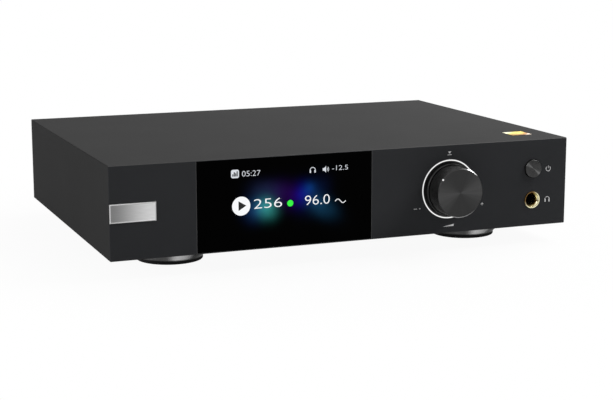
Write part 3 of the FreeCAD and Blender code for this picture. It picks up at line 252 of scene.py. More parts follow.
def powder_coat(level):
    """Black powder coat with its fine orange peel."""
    f = Finish("powder_coat")
    peel = f.noise(0.5, 3.0)
    dust = f.noise(0.09, 1.0)
    return f.shader(
        Base_Color=f.blend(peel, grey(level - 6), grey(level + 6)), Roughness=0.5 + dust * 0.2,
        Normal=f.bump(peel + dust * 0.4, 0.03), Specular_IOR_Level=0.4,
    )


def plated(name, low, high, size=0.4, rough=0.28, stretch=(1, 1, 1)):
    """Plated metal: a fine grain, drawn out along one axis where it is brushed, with worn patches."""
    f = Finish(name)
    grain = f.noise(size, 3.0, stretch)
    patch = f.noise(4.0, 3.0)
    return f.shader(
        Base_Color=f.blend(grain * 0.6 + patch * 0.4, low, high), Metallic=1.0,
        Roughness=rough + grain * 0.12 + patch * 0.08, Normal=f.bump(grain, 0.006),
    )


def moulded(name, low, high, size=0.25, rough=0.45, depth=0.015):
    """Moulded plastic with a fine spark texture."""
    f = Finish(name)
    grain = f.cells(size)
    patch = f.noise(6.0, 2.0)
    return f.shader(
        Base_Color=f.blend(patch, low, high), Roughness=rough + grain * 0.15, Normal=f.bump(grain, depth),
        Specular_IOR_Level=0.45,
    )


def spun_metal(name, at, low, high, depth, rough, slope, painted_fan, base, speckle, rim):
    """A turned piece: fine circles and two opposite wedges of painted highlight on its face, painted shade on
    the top of its side, fine lines round its side.

    Its face lies depth mm behind the place at, so depth is negative for one that stands proud. painted_fan
    gives the painted wedges' angle, narrowness and strength, speckle the grain's strength and size, and rim
    the radius of the face's bevel, which takes painted glints and painted shade, past the piece's own edge
    where it has none.
    """
    f = Finish(name)
    fan_at, fan_narrow, fan_strength = painted_fan
    grain_strength, grain_size = speckle
    x, y, z = f.axes(at)
    radius = (x * x + z * z) ** 0.5
    face = y < depth + 0.25
    wobble = f.noise(3.0, 2.0) * 0.6
    rings = ((radius + wobble * 0.05) * 42.0).sine() * 0.5 + ((radius + wobble * 0.03) * 17.3).sine() * 0.5
    side = (y * 38.0 + wobble).sine()
    line = rings * face + side * (1.0 - face)
    grain = f.noise(grain_size, 2.0)
    turn = f.node("ShaderNodeMath", {"operation": "ARCTAN2"}, [z, x])
    outward = f.vector("NORMALIZE", f.node("ShaderNodeCombineXYZ", {}, [x, 0.0, z]))
    ray = f.node("ShaderNodeTexNoise", {}, {"Vector": outward, "Scale": 5.0, "Detail": 3.0})
    # painted highlight: two opposite bright wedges across the face, set by the angle round the axis, with
    # fine streaks in them
    painted_fans = (turn - fan_at).cosine().sized() ** fan_narrow
    painted_shine = (painted_fans * fan_strength + (ray - 0.5) * 0.45 * (0.3 + painted_fans)) * face
    metal = f.blend(base + painted_shine + line * 0.05 + (grain - 0.5) * grain_strength * face, low, high)
    bevel = (radius > rim - 0.4) * (y < depth + 0.4)
    # painted shade: the upper part of the side and of the bevel is darkened towards black
    top = ((x * 0.3 + z * 0.95) / radius).ramp(0.8, 0.97) * (1.0 - face * (1.0 - bevel))
    # painted highlight: a white glint on the upper right of the bevel and a grey one along its bottom
    painted_upper_glint = ((x * 0.56 + z * 0.83) / radius).ramp(0.96, 0.985)
    painted_lower_glint = ((x * 0.17 - z * 0.98) / radius).ramp(0.8, 0.95)
    colour = f.blend(top * 0.9, metal, (0.0, 0.0, 0.0))
    colour = f.blend(bevel * painted_lower_glint, colour, grey(190))
    colour = f.blend(bevel * painted_upper_glint, colour, grey(255))
    return f.shader(
        Base_Color=colour, Metallic=1.0, Roughness=rough + grain * 0.06, Normal=f.grooved(at, line, slope),
    )


def display_window():
    """Black backed glass with a soft glow of colour behind the figures."""
    f = Finish("display_window")
    x, y, z = f.axes((0, FRONT, CASE_Z0))
    drift = f.noise(22.0, 3.0)
    veil = f.noise(9.0, 4.0, at=(0.3, 0, 0))

    def cloud(mid_x, mid_z, wide, tall, lean):
        across = (x - mid_x) / wide + (z - mid_z) * (lean / wide)
        up = (z - mid_z) / tall
        far = across * across + up * up + (drift - 0.5) * 0.4
        return (far * -1.3).exp()

    glow = f.blend(1.0, (0, 0, 0), (0, 0, 0))
    for mid_x, mid_z, wide, tall, lean, colour in (
        (-55.0, 22.5, 6.5, 6.6, -0.1, (0.006, 0.025, 0.100)),
        (-49.0, 22.0, 5.7, 5.8, 0.1, (0.025, 0.210, 0.185)),
        (-49.0, 31.7, 9.3, 5.6, 0.2, (0.006, 0.009, 0.030)),
        (-37.7, 28.5, 9.4, 7.4, 0.2, (0.012, 0.000, 0.044)),
        (-29.0, 28.0, 5.0, 6.4, -0.1, (0.000, 0.000, 0.140)),
        (-24.8, 31.1, 4.1, 4.1, -0.1, (0.001, 0.022, 0.090)),
        (-21.7, 27.4, 7.5, 9.2, -0.3, (0.001, 0.005, 0.028)),
        (-17.8, 21.1, 7.6, 7.0, 0.6, (0.005, 0.035, 0.076)),
    ):
        amount = cloud(mid_x, mid_z, wide, tall, lean)
        layer = f.blend(amount * (0.55 + veil * 0.9), (0, 0, 0), colour)
        glow = f.blend(1.0, glow, layer, "ADD")
    front_glow = f.blend(y < 0.05, (0, 0, 0), glow)
    smear = f.noise(14.0, 4.0)
    return f.shader(
        Base_Color=f.blend(smear, (0.0003,) * 3, (0.0008,) * 3), Roughness=0.06 + smear * 0.05,
        Specular_IOR_Level=0.008, Emission_Color=front_glow, Emission_Strength=1.0,
    )


def lit(name, colour):
    """A lit mark or lamp: its light is a little uneven, as a real screen's is; it also makes the knob's
    painted index dot glow.
    """
    f = Finish(name)
    grain = f.noise(0.6, 2.0)
    dim = tuple(c * 0.86 for c in colour)
    return f.shader(
        Base_Color=f.blend(grain, (0.02, 0.02, 0.02), (0.03, 0.03, 0.03)), Roughness=0.4 + grain * 0.1,
        Emission_Color=f.blend(grain, dim, colour), Emission_Strength=1.0,
    )


def panel_ink(level):
    """Pale printing ink, a little uneven."""
    f = Finish("panel_ink")
    grain = f.noise(0.2, 2.0)
    return f.shader(
        Base_Color=f.blend(grain, grey(level - 22), grey(level)), Roughness=0.55 + grain * 0.15,
        Normal=f.bump(grain, 0.004),
    )


def ring_light():
    """Clear ring lit from behind: brightest along its middle."""
    f = Finish("ring_light")
    x, _, z = f.axes((KNOB.x, FRONT, KNOB.z))
    radius = (x * x + z * z) ** 0.5
    grain = f.noise(2.0, 2.0)
    bright_line = near(radius, 16.3, 0.27, 0.12)
    glow = f.blend(bright_line, (0.02, 0.02, 0.02), (1.0, 1.0, 1.0))
    return f.shader(
        Base_Color=(0.1, 0.1, 0.1), Roughness=0.3 + grain * 0.1, Emission_Color=glow, Emission_Strength=1.0,
    )


def solder_board():
    """Black board: copper tracks just showing under the mask, and a fine weave."""
    f = Finish("solder_board")
    x, y, _ = f.axes((0, FRONT, 0))
    weave = ((x * 9.0).sine() + (y * 9.0).sine()) * 0.25 + 0.5
    grid = f.moved((0, 0, 0), (400, 400, 400))
    bricks = {"Vector": grid, "Scale": 1.0, "Mortar Size": 0.03}
    tracks = f.node("ShaderNodeTexBrick", {"offset": 0.5}, bricks, "Fac")
    spots = f.cells(1.6) < 0.16
    dark = f.blend(weave, (0.006, 0.010, 0.016), (0.010, 0.016, 0.026))
    colour = f.blend(tracks, dark, (0.016, 0.028, 0.040))
    colour = f.blend(spots, colour, (0.42, 0.40, 0.34))
    return f.shader(
        Base_Color=colour, Roughness=0.36 + weave * 0.1, Metallic=spots * 0.8,
        Normal=f.bump(tracks + spots, 0.03),
    )


def by_socket():
    """Moulded rings in the colour of each phono socket: red and white, orange and black."""
    f = Finish("by_socket")
    x, _, z = f.axes((0, REAR, MID_Z))
    right_group = x > 40.0
    upper = z > 0.0
    analog = f.blend(upper, (0.42, 0.012, 0.010), (0.62, 0.61, 0.58))
    digital = f.blend(upper, (0.45, 0.13, 0.008), (0.010, 0.010, 0.011))
    grain = f.noise(0.3, 2.0)
    colour = f.blend(right_group, digital, analog)
    return f.shader(
        Base_Color=f.blend(grain * 0.3, colour, (0.1, 0.1, 0.1)), Roughness=0.34 + grain * 0.12,
        Normal=f.bump(grain, 0.008),
    )


def wire_cover():
    """Leads in two colours, by where they run."""
    f = Finish("wire_cover")
    x = f.axes((0, FRONT, 0))[0]
    grain = f.noise(1.2, 2.0)
    by_run = f.blend(x > -60.0, (0.20, 0.05, 0.02), (0.30, 0.012, 0.012))
    return f.shader(Base_Color=f.blend(grain, by_run, (0.05, 0.02, 0.02)), Roughness=0.4 + grain * 0.1)


# ---------------------------------------------------------------- making pieces
SLOT_OF = {p["node"]: p["material_slot"] for p in frame["record"]["subparts"]}


def add_piece(name, mesh, material, body="case", nodes=()):
    """A finished piece: it rides on a body and stands for the solids named."""
    mesh.name = name
    mesh.materials.clear()
    mesh.materials.append(material)
    made = bpy.data.objects.new(name, mesh)
    bpy.context.collection.objects.link(made)
    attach(made, body)
    if nodes:
        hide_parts(*nodes)
    return made


def lies_square(mesh, face):
    """Whether a face is square to an axis, by its corners, as the normal of a sliver is a poor guide."""
    corners = [mesh.vertices[k].co for k in face.vertices]
    return any(max(along) - min(along) < 5e-7 for along in zip(*corners))


def smooth(mesh, angle=32):
    """Soft shading across shallow angles; faces square to an axis stay flat.

    The sharp edges are marked first, as marking them makes every face soft.
    """
    mesh.set_sharp_from_angle(angle=math.radians(angle))
    mesh.polygons.foreach_set("use_smooth", [not lies_square(mesh, face) for face in mesh.polygons])
    return mesh


def to_mesh(bm, angle=32):
    """A finished mesh from loose faces, with its seams closed and its faces turned outward."""
    bmesh.ops.remove_doubles(bm, verts=bm.verts, dist=1e-7)
    bmesh.ops.recalc_face_normals(bm, faces=bm.faces)
    mesh = bpy.data.meshes.new("made")
    bm.to_mesh(mesh)
    bm.free()
    return smooth(mesh, angle)


def turned_mesh(profile, at=(0, 0, 0), axis="Y", steps=144):
    """A closed outline of (radius, along) points in millimetres, turned about an axis through at."""
    bm = bmesh.new()
    rings = []
    for radius, along in profile:
        ring = []
        for k in range(1 if radius == 0 else steps):
            a = 2 * math.pi * k / steps
            u, v = radius * MM * math.cos(a), radius * MM * math.sin(a)
            spot = (u, along * MM, v) if axis == "Y" else (u, v, along * MM)
            ring.append(bm.verts.new(Vector(at) + Vector(spot)))
        rings.append(ring)
    closed = profile[0][0] > 0 and profile[-1][0] > 0
    pairs = list(zip(rings, rings[1:])) + ([(rings[-1], rings[0])] if closed else [])
    for a, b in pairs:
        for k in range(steps):
            n = (k + 1) % steps
            corners = [a[k % len(a)], a[n % len(a)], b[n % len(b)], b[k % len(b)]]
            unique = list(dict.fromkeys(corners))
            if len(unique) > 2:
                bm.faces.new(unique)
    return to_mesh(bm)


def arc(x, z, radius, start, stop, steps=8):
    """Points along an arc, for an outline."""
    turn = [math.radians(start + (stop - start) * k / steps) for k in range(steps + 1)]
    return [(x + radius * math.cos(a), z + radius * math.sin(a)) for a in turn]


def flat_mesh(outlines, y_front):
    """Thin upright shapes at a depth, from outlines of (x, height above the case's underside)."""
    bm = bmesh.new()
    for outline in outlines:
        front = [bm.verts.new((x * MM, y_front, CASE_Z0 + z * MM)) for x, z in outline]
        face = bm.faces.new(front)
        out = bmesh.ops.extrude_face_region(bm, geom=[face])
        moved = [v for v in out["geom"] if isinstance(v, bmesh.types.BMVert)]
        bmesh.ops.translate(bm, verts=moved, vec=(0, PRINT_MM * MM, 0))
    bmesh.ops.triangulate(bm, faces=[f for f in bm.faces if len(f.verts) > 4])
    bmesh.ops.recalc_face_normals(bm, faces=bm.faces)
    mesh = bpy.data.meshes.new("flat")
    bm.to_mesh(mesh)
    bm.free()
    return mesh


def band(x, z, radius, width, start, stop, steps=28):
    """The outline of a curved stroke."""
    outer = arc(x, z, radius + width / 2, start, stop, steps)
    inner = arc(x, z, radius - width / 2, stop, start, steps)
    return outer + inner


def bar(x0, z0, x1, z1, width):
    """The outline of a straight stroke."""
    dx, dz = x1 - x0, z1 - z0
    length = math.hypot(dx, dz)
    u, w = -dz / length * width / 2, dx / length * width / 2
    return [(x0 + u, z0 + w), (x1 + u, z1 + w), (x1 - u, z1 - w), (x0 - u, z0 - w)]


def slab(x, z, wide, tall, corner=0.3):
    """The outline of a rectangle with round corners."""
    points = []
    for right, up, start in ((1, 1, 0), (-1, 1, 90), (-1, -1, 180), (1, -1, 270)):
        corner_x = x + right * (wide / 2 - corner)
        corner_z = z + up * (tall / 2 - corner)
        points += arc(corner_x, corner_z, corner, start, start + 90, 4)
    return points


def disc(x, z, radius, steps=40):
    """The outline of a round spot."""
    return arc(x, z, radius, 0, 360 - 360 / steps, steps - 1)


def figures(name, words, x0, x1, z0, z1, material, y_front, behind=False):
    """Thin upright figures that fill a box, to be read from the front or from behind."""
    curve = bpy.data.curves.new(name, "FONT")
    curve.body = words
    curve.resolution_u = 6
    curve.extrude = 1.0
    curve.offset = STROKE_THINNED
    helper = bpy.data.objects.new(name + "_outline", curve)
    bpy.context.collection.objects.link(helper)
    bpy.context.view_layer.update()
    mesh = bpy.data.meshes.new_from_object(helper.evaluated_get(bpy.context.evaluated_depsgraph_get()))
    bpy.data.objects.remove(helper)
    xs = [v.co.x for v in mesh.vertices]
    ys = [v.co.y for v in mesh.vertices]
    low, base = min(xs), min(ys)
    wide = (x1 - x0) * MM / (max(xs) - low)
    tall = (z1 - z0) * MM / (max(ys) - base)
    for v in mesh.vertices:
        along = (v.co.x - low) * wide
        deep = (1 - v.co.z) / 2 * PRINT_MM * MM
        x = x1 * MM - along if behind else x0 * MM + along
        y = y_front + (PRINT_MM * MM - deep if behind else deep)
        v.co = (x, y, CASE_Z0 + (v.co.y - base) * tall + z0 * MM)
    mesh.update()
    return add_piece(name, mesh, material)


def crisp(node, bevel_mm, body="case"):
    """A cleaned copy of a solid with its sharp edges eased, to stand for it.

    The stored normals go, as easing would smear them, and the edges don't slide, as slivers would fold.
    """
    mesh = frame["nodes"][node].data.copy()
    if mesh.has_custom_normals:
        mesh.attributes.remove(mesh.attributes["custom_normal"])
    bm = bmesh.new()
    bm.from_mesh(mesh)
    bmesh.ops.remove_doubles(bm, verts=bm.verts, dist=2e-6)
    bm.to_mesh(mesh)
    bm.free()
    made = bpy.data.objects.new(node + "_bevelled", mesh)
    bpy.context.collection.objects.link(made)
    ease = made.modifiers.new("ease", "BEVEL")
    ease.width = bevel_mm * MM
    ease.segments = 2
    ease.limit_method = "ANGLE"
    ease.angle_limit = math.radians(30)
    ease.use_clamp_overlap = True
    ease.loop_slide = False
    bpy.context.view_layer.update()
    eased = bpy.data.meshes.new_from_object(made.evaluated_get(bpy.context.evaluated_depsgraph_get()))
    bpy.data.objects.remove(made)
    return add_piece(node + "_finished", smooth(eased, 38), FINISHES[SLOT_OF[node]], body, [node])


# ---------------------------------------------------------------- repeated pieces, by node trees
def repeat(name, source, spots, node, axis, seed):
    """Copies of a mesh at the spots, each turned about the axis by chance, joined to stand for a node."""
    original = bpy.data.objects.new(name + "_copy", source)
    inputs = {
        "Copy": ("Object", original),
        "Axis": ("Vector", axis),
        "Largest turn": ("Float", LARGEST_TURN),
        "Seed": ("Int", seed),
        "Finish": ("Material", FINISHES[SLOT_OF[node]]),
    }
    tree = bpy.data.node_groups.new(name + "_tree", "GeometryNodeTree")
    face = tree.interface
    face.new_socket("Spots", in_out="INPUT", socket_type="NodeSocketGeometry")
    identifiers = {}
    for label, (kind, value) in inputs.items():
        socket = face.new_socket(label, in_out="INPUT", socket_type="NodeSocket" + kind)
        identifiers[label] = socket.identifier
    face.new_socket("Pieces", in_out="OUTPUT", socket_type="NodeSocketGeometry")
    start = tree.nodes.new("NodeGroupInput")
    end = tree.nodes.new("NodeGroupOutput")
    info = tree.nodes.new("GeometryNodeObjectInfo")
    chance = tree.nodes.new("FunctionNodeRandomValue")
    spin = tree.nodes.new("FunctionNodeAxisAngleToRotation")
    copies = tree.nodes.new("GeometryNodeInstanceOnPoints")
    real = tree.nodes.new("GeometryNodeRealizeInstances")
    paint = tree.nodes.new("GeometryNodeSetMaterial")
    links = tree.links
    links.new(start.outputs["Copy"], info.inputs["Object"])
    links.new(start.outputs["Largest turn"], chance.inputs[3])
    links.new(start.outputs["Seed"], chance.inputs["Seed"])
    links.new(start.outputs["Axis"], spin.inputs["Axis"])
    links.new(chance.outputs[1], spin.inputs["Angle"])
    links.new(start.outputs["Spots"], copies.inputs["Points"])
    links.new(info.outputs["Geometry"], copies.inputs["Instance"])
    links.new(spin.outputs[0], copies.inputs["Rotation"])
    links.new(copies.outputs["Instances"], real.inputs[0])
    links.new(real.outputs[0], paint.inputs["Geometry"])
    links.new(start.outputs["Finish"], paint.inputs["Material"])
    links.new(paint.outputs[0], end.inputs["Pieces"])
    points = bpy.data.meshes.new(name + "_spots")
    points.from_pydata(spots, [], [])
    host = bpy.data.objects.new(name + "_host", points)
    for each in (original, host):
        bpy.context.collection.objects.link(each)
    rule = host.modifiers.new("rule", "NODES")
    rule.node_group = tree
    for label, (kind, value) in inputs.items():
        rule[identifiers[label]] = value
    bpy.context.view_layer.update()
    mesh = bpy.data.meshes.new_from_object(host.evaluated_get(bpy.context.evaluated_depsgraph_get()))
    for each in (host, original):
        bpy.data.objects.remove(each)
    return add_piece(name, smooth(mesh), FINISHES[SLOT_OF[node]], nodes=[node])


def socket_head(radius, tall, key, axis):
    """A screw head with a hexagon socket, its top at +axis and its seat at the origin."""
    bm = bmesh.new()
    steps = 24
    socket = [(key, tall * 0.4), (key, tall - 0.1), (key + 0.12, tall)]
    crown = [(radius - 0.3, tall), (radius - 0.08, tall - 0.09), (radius, tall - 0.3), (radius, 0)]
    rings = []
    for index, (reach, height) in enumerate(socket + crown):
        ring = []
        for k in range(steps):
            a = 2 * math.pi * k / steps
            in_flat = (a % (math.pi / 3)) - math.pi / 6
            hexagon = math.cos(math.pi / 6) / math.cos(in_flat) * 1.08
            r = reach * (hexagon if index < len(socket) else 1.0)
            u, v = r * MM * math.cos(a), r * MM * math.sin(a)
            ring.append(bm.verts.new((u, height * MM, v) if axis == "Y" else (u, v, height * MM)))
        rings.append(ring)
    for a, b in zip(rings, rings[1:]):
        for k in range(steps):
            bm.faces.new((a[k], a[(k + 1) % steps], b[(k + 1) % steps], b[k]))
    bm.faces.new(rings[0])
    bm.faces.new(rings[-1])
    return to_mesh(bm, 40)


# ---------------------------------------------------------------- finishes of single pieces
def badge_metal():
    """Drawn metal with a paler rim, and a painted reflection that is darker at its left end and bright
    towards its right.
    """
    f = Finish("badge_metal")
    middle_x, half_wide, half_tall = -122.3, 11.8, 4.4
    x, _, z = f.axes((0, FRONT, MID_Z))
    drawn = f.noise(0.35, 3.0, (0.06, 1, 1))
    # painted reflection: the plate goes from mid grey at its left end to white at its right
    tone = f.blend(x.ramp(-135.0, -110.0), grey(146), grey(255))
    rim = ((x - middle_x).sized() > half_wide) + (z.sized() > half_tall)
    colour = f.blend(drawn * 0.3, f.blend(rim, tone, grey(226)), grey(120))
    return f.shader(
        Base_Color=colour, Metallic=1.0, Roughness=0.3 + drawn * 0.14, Normal=f.bump(drawn, 0.006),
    )


def gold_foil():
    """Printed foil in small facets, with painted highlight and shade: pale at its left end, brown and dark
    towards its lower right, paler at its right end, and scattered facets painted dark as a shimmer.
    """
    f = Finish("gold_foil")
    across, along, _ = f.axes((115.8 * MM, FRONT + 23.7 * MM, 0))
    facets = f.cells(1.7)
    fine = f.noise(0.3, 2.0)
    gleam = f.noise(5.0, 2.0)
    lean = across * 0.7 - along * 0.7
    forward = across * -0.7 - along * 0.7
    # painted highlight and shade: pale gold at the left end, brown and dark towards the lower right
    gold_with_painted_light = f.blend(lean.ramp(0.5, 5.0), (0.98, 0.78, 0.13), (0.50, 0.20, 0.03))
    gold_with_painted_light = f.blend(forward.ramp(0.5, 2.5) * lean.ramp(-4.0, -1.0) * 0.75, gold_with_painted_light, (0.30, 0.12, 0.02))
    gold_with_painted_light = f.blend(lean.ramp(4.8, 6.5), gold_with_painted_light, (0.95, 0.80, 0.66))
    colour = f.blend(lean.ramp(-6.5, -2.5), (1.0, 0.97, 0.74), gold_with_painted_light)
    # painted reflection: scattered facets darkened, as a shimmer
    colour = f.blend(facets * gleam * 0.6, colour, (0.16, 0.10, 0.03))
    return f.shader(
        Base_Color=colour, Metallic=0.85, Roughness=0.34 + fine * 0.15,
        Normal=f.bump(facets + fine * 0.3, 0.03),
    )


def gloss_shell():
    """Black gloss with one soft pale painted highlight on its front."""
    f = Finish("gloss_shell")
    z = f.axes((0, FRONT, 0))[2]
    mottle = f.noise(8.0, 3.0)
    speck = f.noise(0.4, 2.0)
    normal = f.node("ShaderNodeNewGeometry", {}, [], "Normal")
    outward = f.vector("NORMALIZE", f.vector("MULTIPLY", normal, (1.0, 1.0, 0.0)))
    # painted highlight: a pale metallic band where the side faces the front, above the foot's lowest part
    peak = f.vector("DOT_PRODUCT", outward, (0.04, -1.0, 0.0), output=1).ramp(0.88, 1.0)
    spread = f.vector("DOT_PRODUCT", outward, (-0.55, -0.835, 0.0), output=1).ramp(0.6, 0.9)
    painted_sheen = (peak * peak * 0.72 + spread * 0.28) * z.ramp(1.7, 3.0)
    colour = f.blend(painted_sheen, f.blend(mottle, grey(8), grey(13)), (1.0, 1.0, 1.0))
    return f.shader(
        Base_Color=colour, Metallic=painted_sheen, Roughness=0.16 + speck * 0.05, Coat_Weight=0.05,
        Specular_IOR_Level=0.15, Normal=f.bump(mottle + speck * 0.1, 0.02),
    )


def sleeve():
    """Capacitor sleeves: dark film, and a bare metal top."""
    f = Finish("sleeve")
    wave = f.noise(3.0, 2.0)
    normal = f.node("ShaderNodeNewGeometry", {}, [], "Normal")
    top = f.node("ShaderNodeSeparateXYZ", {}, [normal], 2) > 0.9
    film = f.blend(wave, (0.010, 0.014, 0.030), (0.020, 0.026, 0.050))
    return f.shader(
        Base_Color=f.blend(top, film, (0.55, 0.55, 0.56)), Metallic=top * 0.9, Roughness=0.3 + wave * 0.1,
        Normal=f.bump(wave, 0.02),
    )


def funnel_gold():
    """Polished gold with painted highlight and shade: pale towards the lower right, dark across from it, with
    one fine turned line.
    """
    f = Finish("funnel_gold")
    x, _, z = f.axes((JACK.x, FRONT, JACK.z))
    radius = (x * x + z * z) ** 0.5
    lean = (x * 0.72 - z * 0.69) / radius
    grain = f.noise(0.4, 2.0)
    line = near(radius, 4.22, 0.07, 0.04)
    # painted highlight and shade: pale gold towards the lower right, dark brown across from it
    gleam = (lean + (grain - 0.5) * 0.3).ramp(-0.75, 0.35)
    colour = f.blend(gleam, (0.16, 0.09, 0.03), (1.0, 0.94, 0.62))
    colour = f.blend(line * 0.7, colour, (0.20, 0.14, 0.05))
    return f.shader(
        Base_Color=colour, Metallic=1.0, Roughness=0.16 + grain * 0.06, Normal=f.bump(grain, 0.004),
    )


# ---------------------------------------------------------------- the finish of every solid
FINISHES = {
    "case_aluminium": blasted_aluminium(),
    "black_steel": powder_coat(40),
    "plated_steel": plated("plated_steel", grey(132), grey(176)),
    "black_screws": plated("black_screws", grey(30), grey(52), 0.2, 0.34),
    "window_glass": display_window(),
    "screen": moulded("screen", grey(6), grey(10), 0.4, 0.3),
    "badge_metal": badge_metal(),
    "gold_foil": gold_foil(),
    "foot_gloss": gloss_shell(),
    "foot_rubber": moulded("rubber", grey(9), grey(14), 0.3, 0.75, 0.03),
    "light_acrylic": ring_light(),
    "black_plastic": moulded("black_plastic", grey(24), grey(32), 0.25, 0.42),
    "knob_aluminium": spun_metal(
        "knob_metal", (KNOB.x, FRONT, KNOB.z), grey(34), grey(84), depth=-13.9, rough=0.3, slope=0.22,
        painted_fan=(0.14, 5.0, 0.36), base=0.41, speckle=(0.2, 0.15), rim=13.8,
    ),
    "button_aluminium": spun_metal(
        "button_metal", (BUTTON.x, FRONT, BUTTON.z), grey(6), grey(112), depth=-1.1, rough=0.32, slope=0.2,
        painted_fan=(2.5, 60.0, 0.75), base=0.33, speckle=(1.1, 0.22), rim=100.0,
    ),
    # painted light: the knob's white painted index dot is made to glow
    "white_paint": lit("index_dot_painted_glow", (0.9, 0.9, 0.9)),
    "brass": plated("gold_plate", (0.60, 0.36, 0.10), (0.86, 0.60, 0.24), 0.3, 0.2),
    "socket_gold": funnel_gold(),
    "shaft_steel": plated("shaft_steel", grey(140), grey(190), 0.3, 0.24, (1, 0.08, 1)),
    "board_laminate": solder_board(),
    "standoff_metal": plated("standoff_metal", grey(150), grey(190), 0.3, 0.3, (1, 1, 0.1)),
    "capacitor_sleeve": sleeve(),
    "ferrite": moulded("ferrite", grey(38), grey(50), 0.35, 0.6, 0.03),
    "coil_tape": moulded("coil_tape", (0.36, 0.27, 0.05), (0.46, 0.35, 0.08), 1.2, 0.3),
    "sink_aluminium": plated("sink_aluminium", grey(30), grey(44), 0.3, 0.42, (1, 1, 0.1)),
    "insert_plastic": by_socket(),
    "xlr_metal": plated("xlr_metal", grey(58), grey(84), 0.3, 0.34),
    "lead_plastic": wire_cover(),
    "flat_cable_film": moulded("flat_cable_film", (0.22, 0.20, 0.15), (0.30, 0.27, 0.2), 0.5, 0.35),
}
for node, held in frame["nodes"].items():
    held.data.materials.clear()
    held.data.materials.append(FINISHES[SLOT_OF[node]])


def separate_solids(node):
    """The box of each separate solid in a node, left to right."""
    bm = bmesh.new()
    bm.from_mesh(frame["nodes"][node].data)
    bmesh.ops.remove_doubles(bm, verts=bm.verts, dist=2e-6)
    left = set(bm.verts)
    boxes = []
    while left:
        heap = [left.pop()]
        lo, hi = heap[0].co.copy(), heap[0].co.copy()
        while heap:
            v = heap.pop()
            for k in range(3):
                lo[k], hi[k] = min(lo[k], v.co[k]), max(hi[k], v.co[k])
            for edge in v.link_edges:
                other = edge.other_vert(v)
                if other in left:
                    left.discard(other)
                    heap.append(other)
        boxes.append((lo, hi))
    bm.free()
    return sorted(boxes, key=lambda b: (b[0].x, b[0].y, b[0].z))


def standing(boxes, up_mm=0.0):
    """The middle of each box in plan, at a height above its foot."""
    return [((lo.x + hi.x) / 2, (lo.y + hi.y) / 2, lo.z + up_mm * MM) for lo, hi in boxes]


# ---------------------------------------------------------------- solids whose edges are only eased
for node, edge_mm in (
    ("front_panel", 0.1), ("top_cover", 0.2), ("rear_panel", 0.12), ("base_plate", 0.12),
    ("xlr_shells", 0.2), ("phono_blocks", 0.25), ("phono_barrels", 0.12), ("phono_inserts", 0.08),
    ("antenna_socket", 0.08), ("optical_sockets", 0.15), ("usb_socket", 0.08), ("mains_inlet", 0.3),
    ("rocker_frame", 0.15),
):
    crisp(node, edge_mm)
crisp("rocker_paddle", 0.3, "rocker")
crisp("optical_flap_a", 0.1, "flap_a")
crisp("optical_flap_b", 0.1, "flap_b")
crisp("volume_knob", 0.12, "knob")

# ---------------------------------------------------------------- ring of light
ring_in, ring_out, ring_foot = 15.65, 16.8, 18.4
ring_profile = [
    (ring_in, 0.1), (ring_in + 0.2, -0.12), (ring_out - 0.2, -0.12), (ring_out, 0.1),
    (ring_out, 4.4), (ring_foot, 4.4), (ring_foot, 6.0), (ring_in, 6.0),
]
ring = turned_mesh(ring_profile, (KNOB.x, FRONT, KNOB.z), steps=256)
add_piece("ring_of_light", ring, FINISHES["light_acrylic"], nodes=["light_ring"])

# ---------------------------------------------------------------- power button and headphone socket
button_back = (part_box("power_button")[1].y - FRONT) / MM
cap_profile = [
    (0, -1.2), (2.5, -1.19), (4.7, -1.17), (4.92, -1.12), (5.08, -0.98), (5.15, -0.75),
    (5.15, 7.4), (6.75, 7.4), (6.75, 8.1), (1.6, 8.1), (1.6, button_back), (0, button_back),
]
cap = turned_mesh(cap_profile, (BUTTON.x, FRONT, BUTTON.z), steps=160)
add_piece("button_cap", cap, FINISHES["button_aluminium"], "button", ["power_button"])

collar_back = (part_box("jack_collar")[1].y - FRONT) / MM
funnel_profile = [
    (3.26, 1.2), (3.5, 0.75), (4.1, -0.1), (4.3, -0.36), (4.42, -0.4), (4.72, -0.4), (4.86, -0.34),
    (4.9, -0.2), (4.9, collar_back), (3.26, collar_back),
]
funnel = turned_mesh(funnel_profile, (JACK.x, FRONT, JACK.z), steps=160)
add_piece("socket_funnel", funnel, FINISHES["socket_gold"], nodes=["jack_collar"])

# ---------------------------------------------------------------- feet
foot_boxes = separate_solids("foot_shells")
foot_lo, foot_hi = foot_boxes[0]
foot_tall = (foot_hi.z - foot_lo.z) / MM
foot_wide = (foot_hi.x - foot_lo.x) / 2 / MM
pad_boxes = separate_solids("foot_pads")
pad_lo, pad_hi = pad_boxes[0]
pad_wide = (pad_hi.x - pad_lo.x) / 2 / MM
pad_tall = (pad_hi.z - pad_lo.z) / MM
screw_hole = 2.0
screw_seat = 5.0
screw_seat_z = foot_tall - 3.0
belly_steps = 12
shell_profile = [(screw_seat, 0), (pad_wide - 0.4, 0.0), (pad_wide, 0.1)]
for k in range(belly_steps + 1):
    up = k / belly_steps
    wide = pad_wide + 0.2 + (foot_wide - pad_wide - 0.2) * math.sin(up * math.pi / 2)
    shell_profile.append((wide, 0.4 + up * (foot_tall - 1.2)))
shell_profile += [
    (foot_wide - 0.1, foot_tall - 0.4), (foot_wide - 0.4, foot_tall - 0.1), (foot_wide - 0.9, foot_tall),
    (screw_hole, foot_tall), (screw_hole, screw_seat_z), (screw_seat, screw_seat_z),
]
shell = turned_mesh(shell_profile, axis="Z", steps=120)
repeat("foot_shells_finished", shell, standing(foot_boxes), "foot_shells", (0, 0, 1), 3)
pad_profile = [
    (screw_seat, 0.3), (screw_seat + 0.3, 0), (pad_wide - 0.7, 0), (pad_wide - 0.2, 0.15), (pad_wide, 0.5),
    (pad_wide, pad_tall), (screw_seat, pad_tall),
]
pad = turned_mesh(pad_profile, axis="Z", steps=96)
repeat("foot_pads_finished", pad, standing(pad_boxes), "foot_pads", (0, 0, 1), 4)


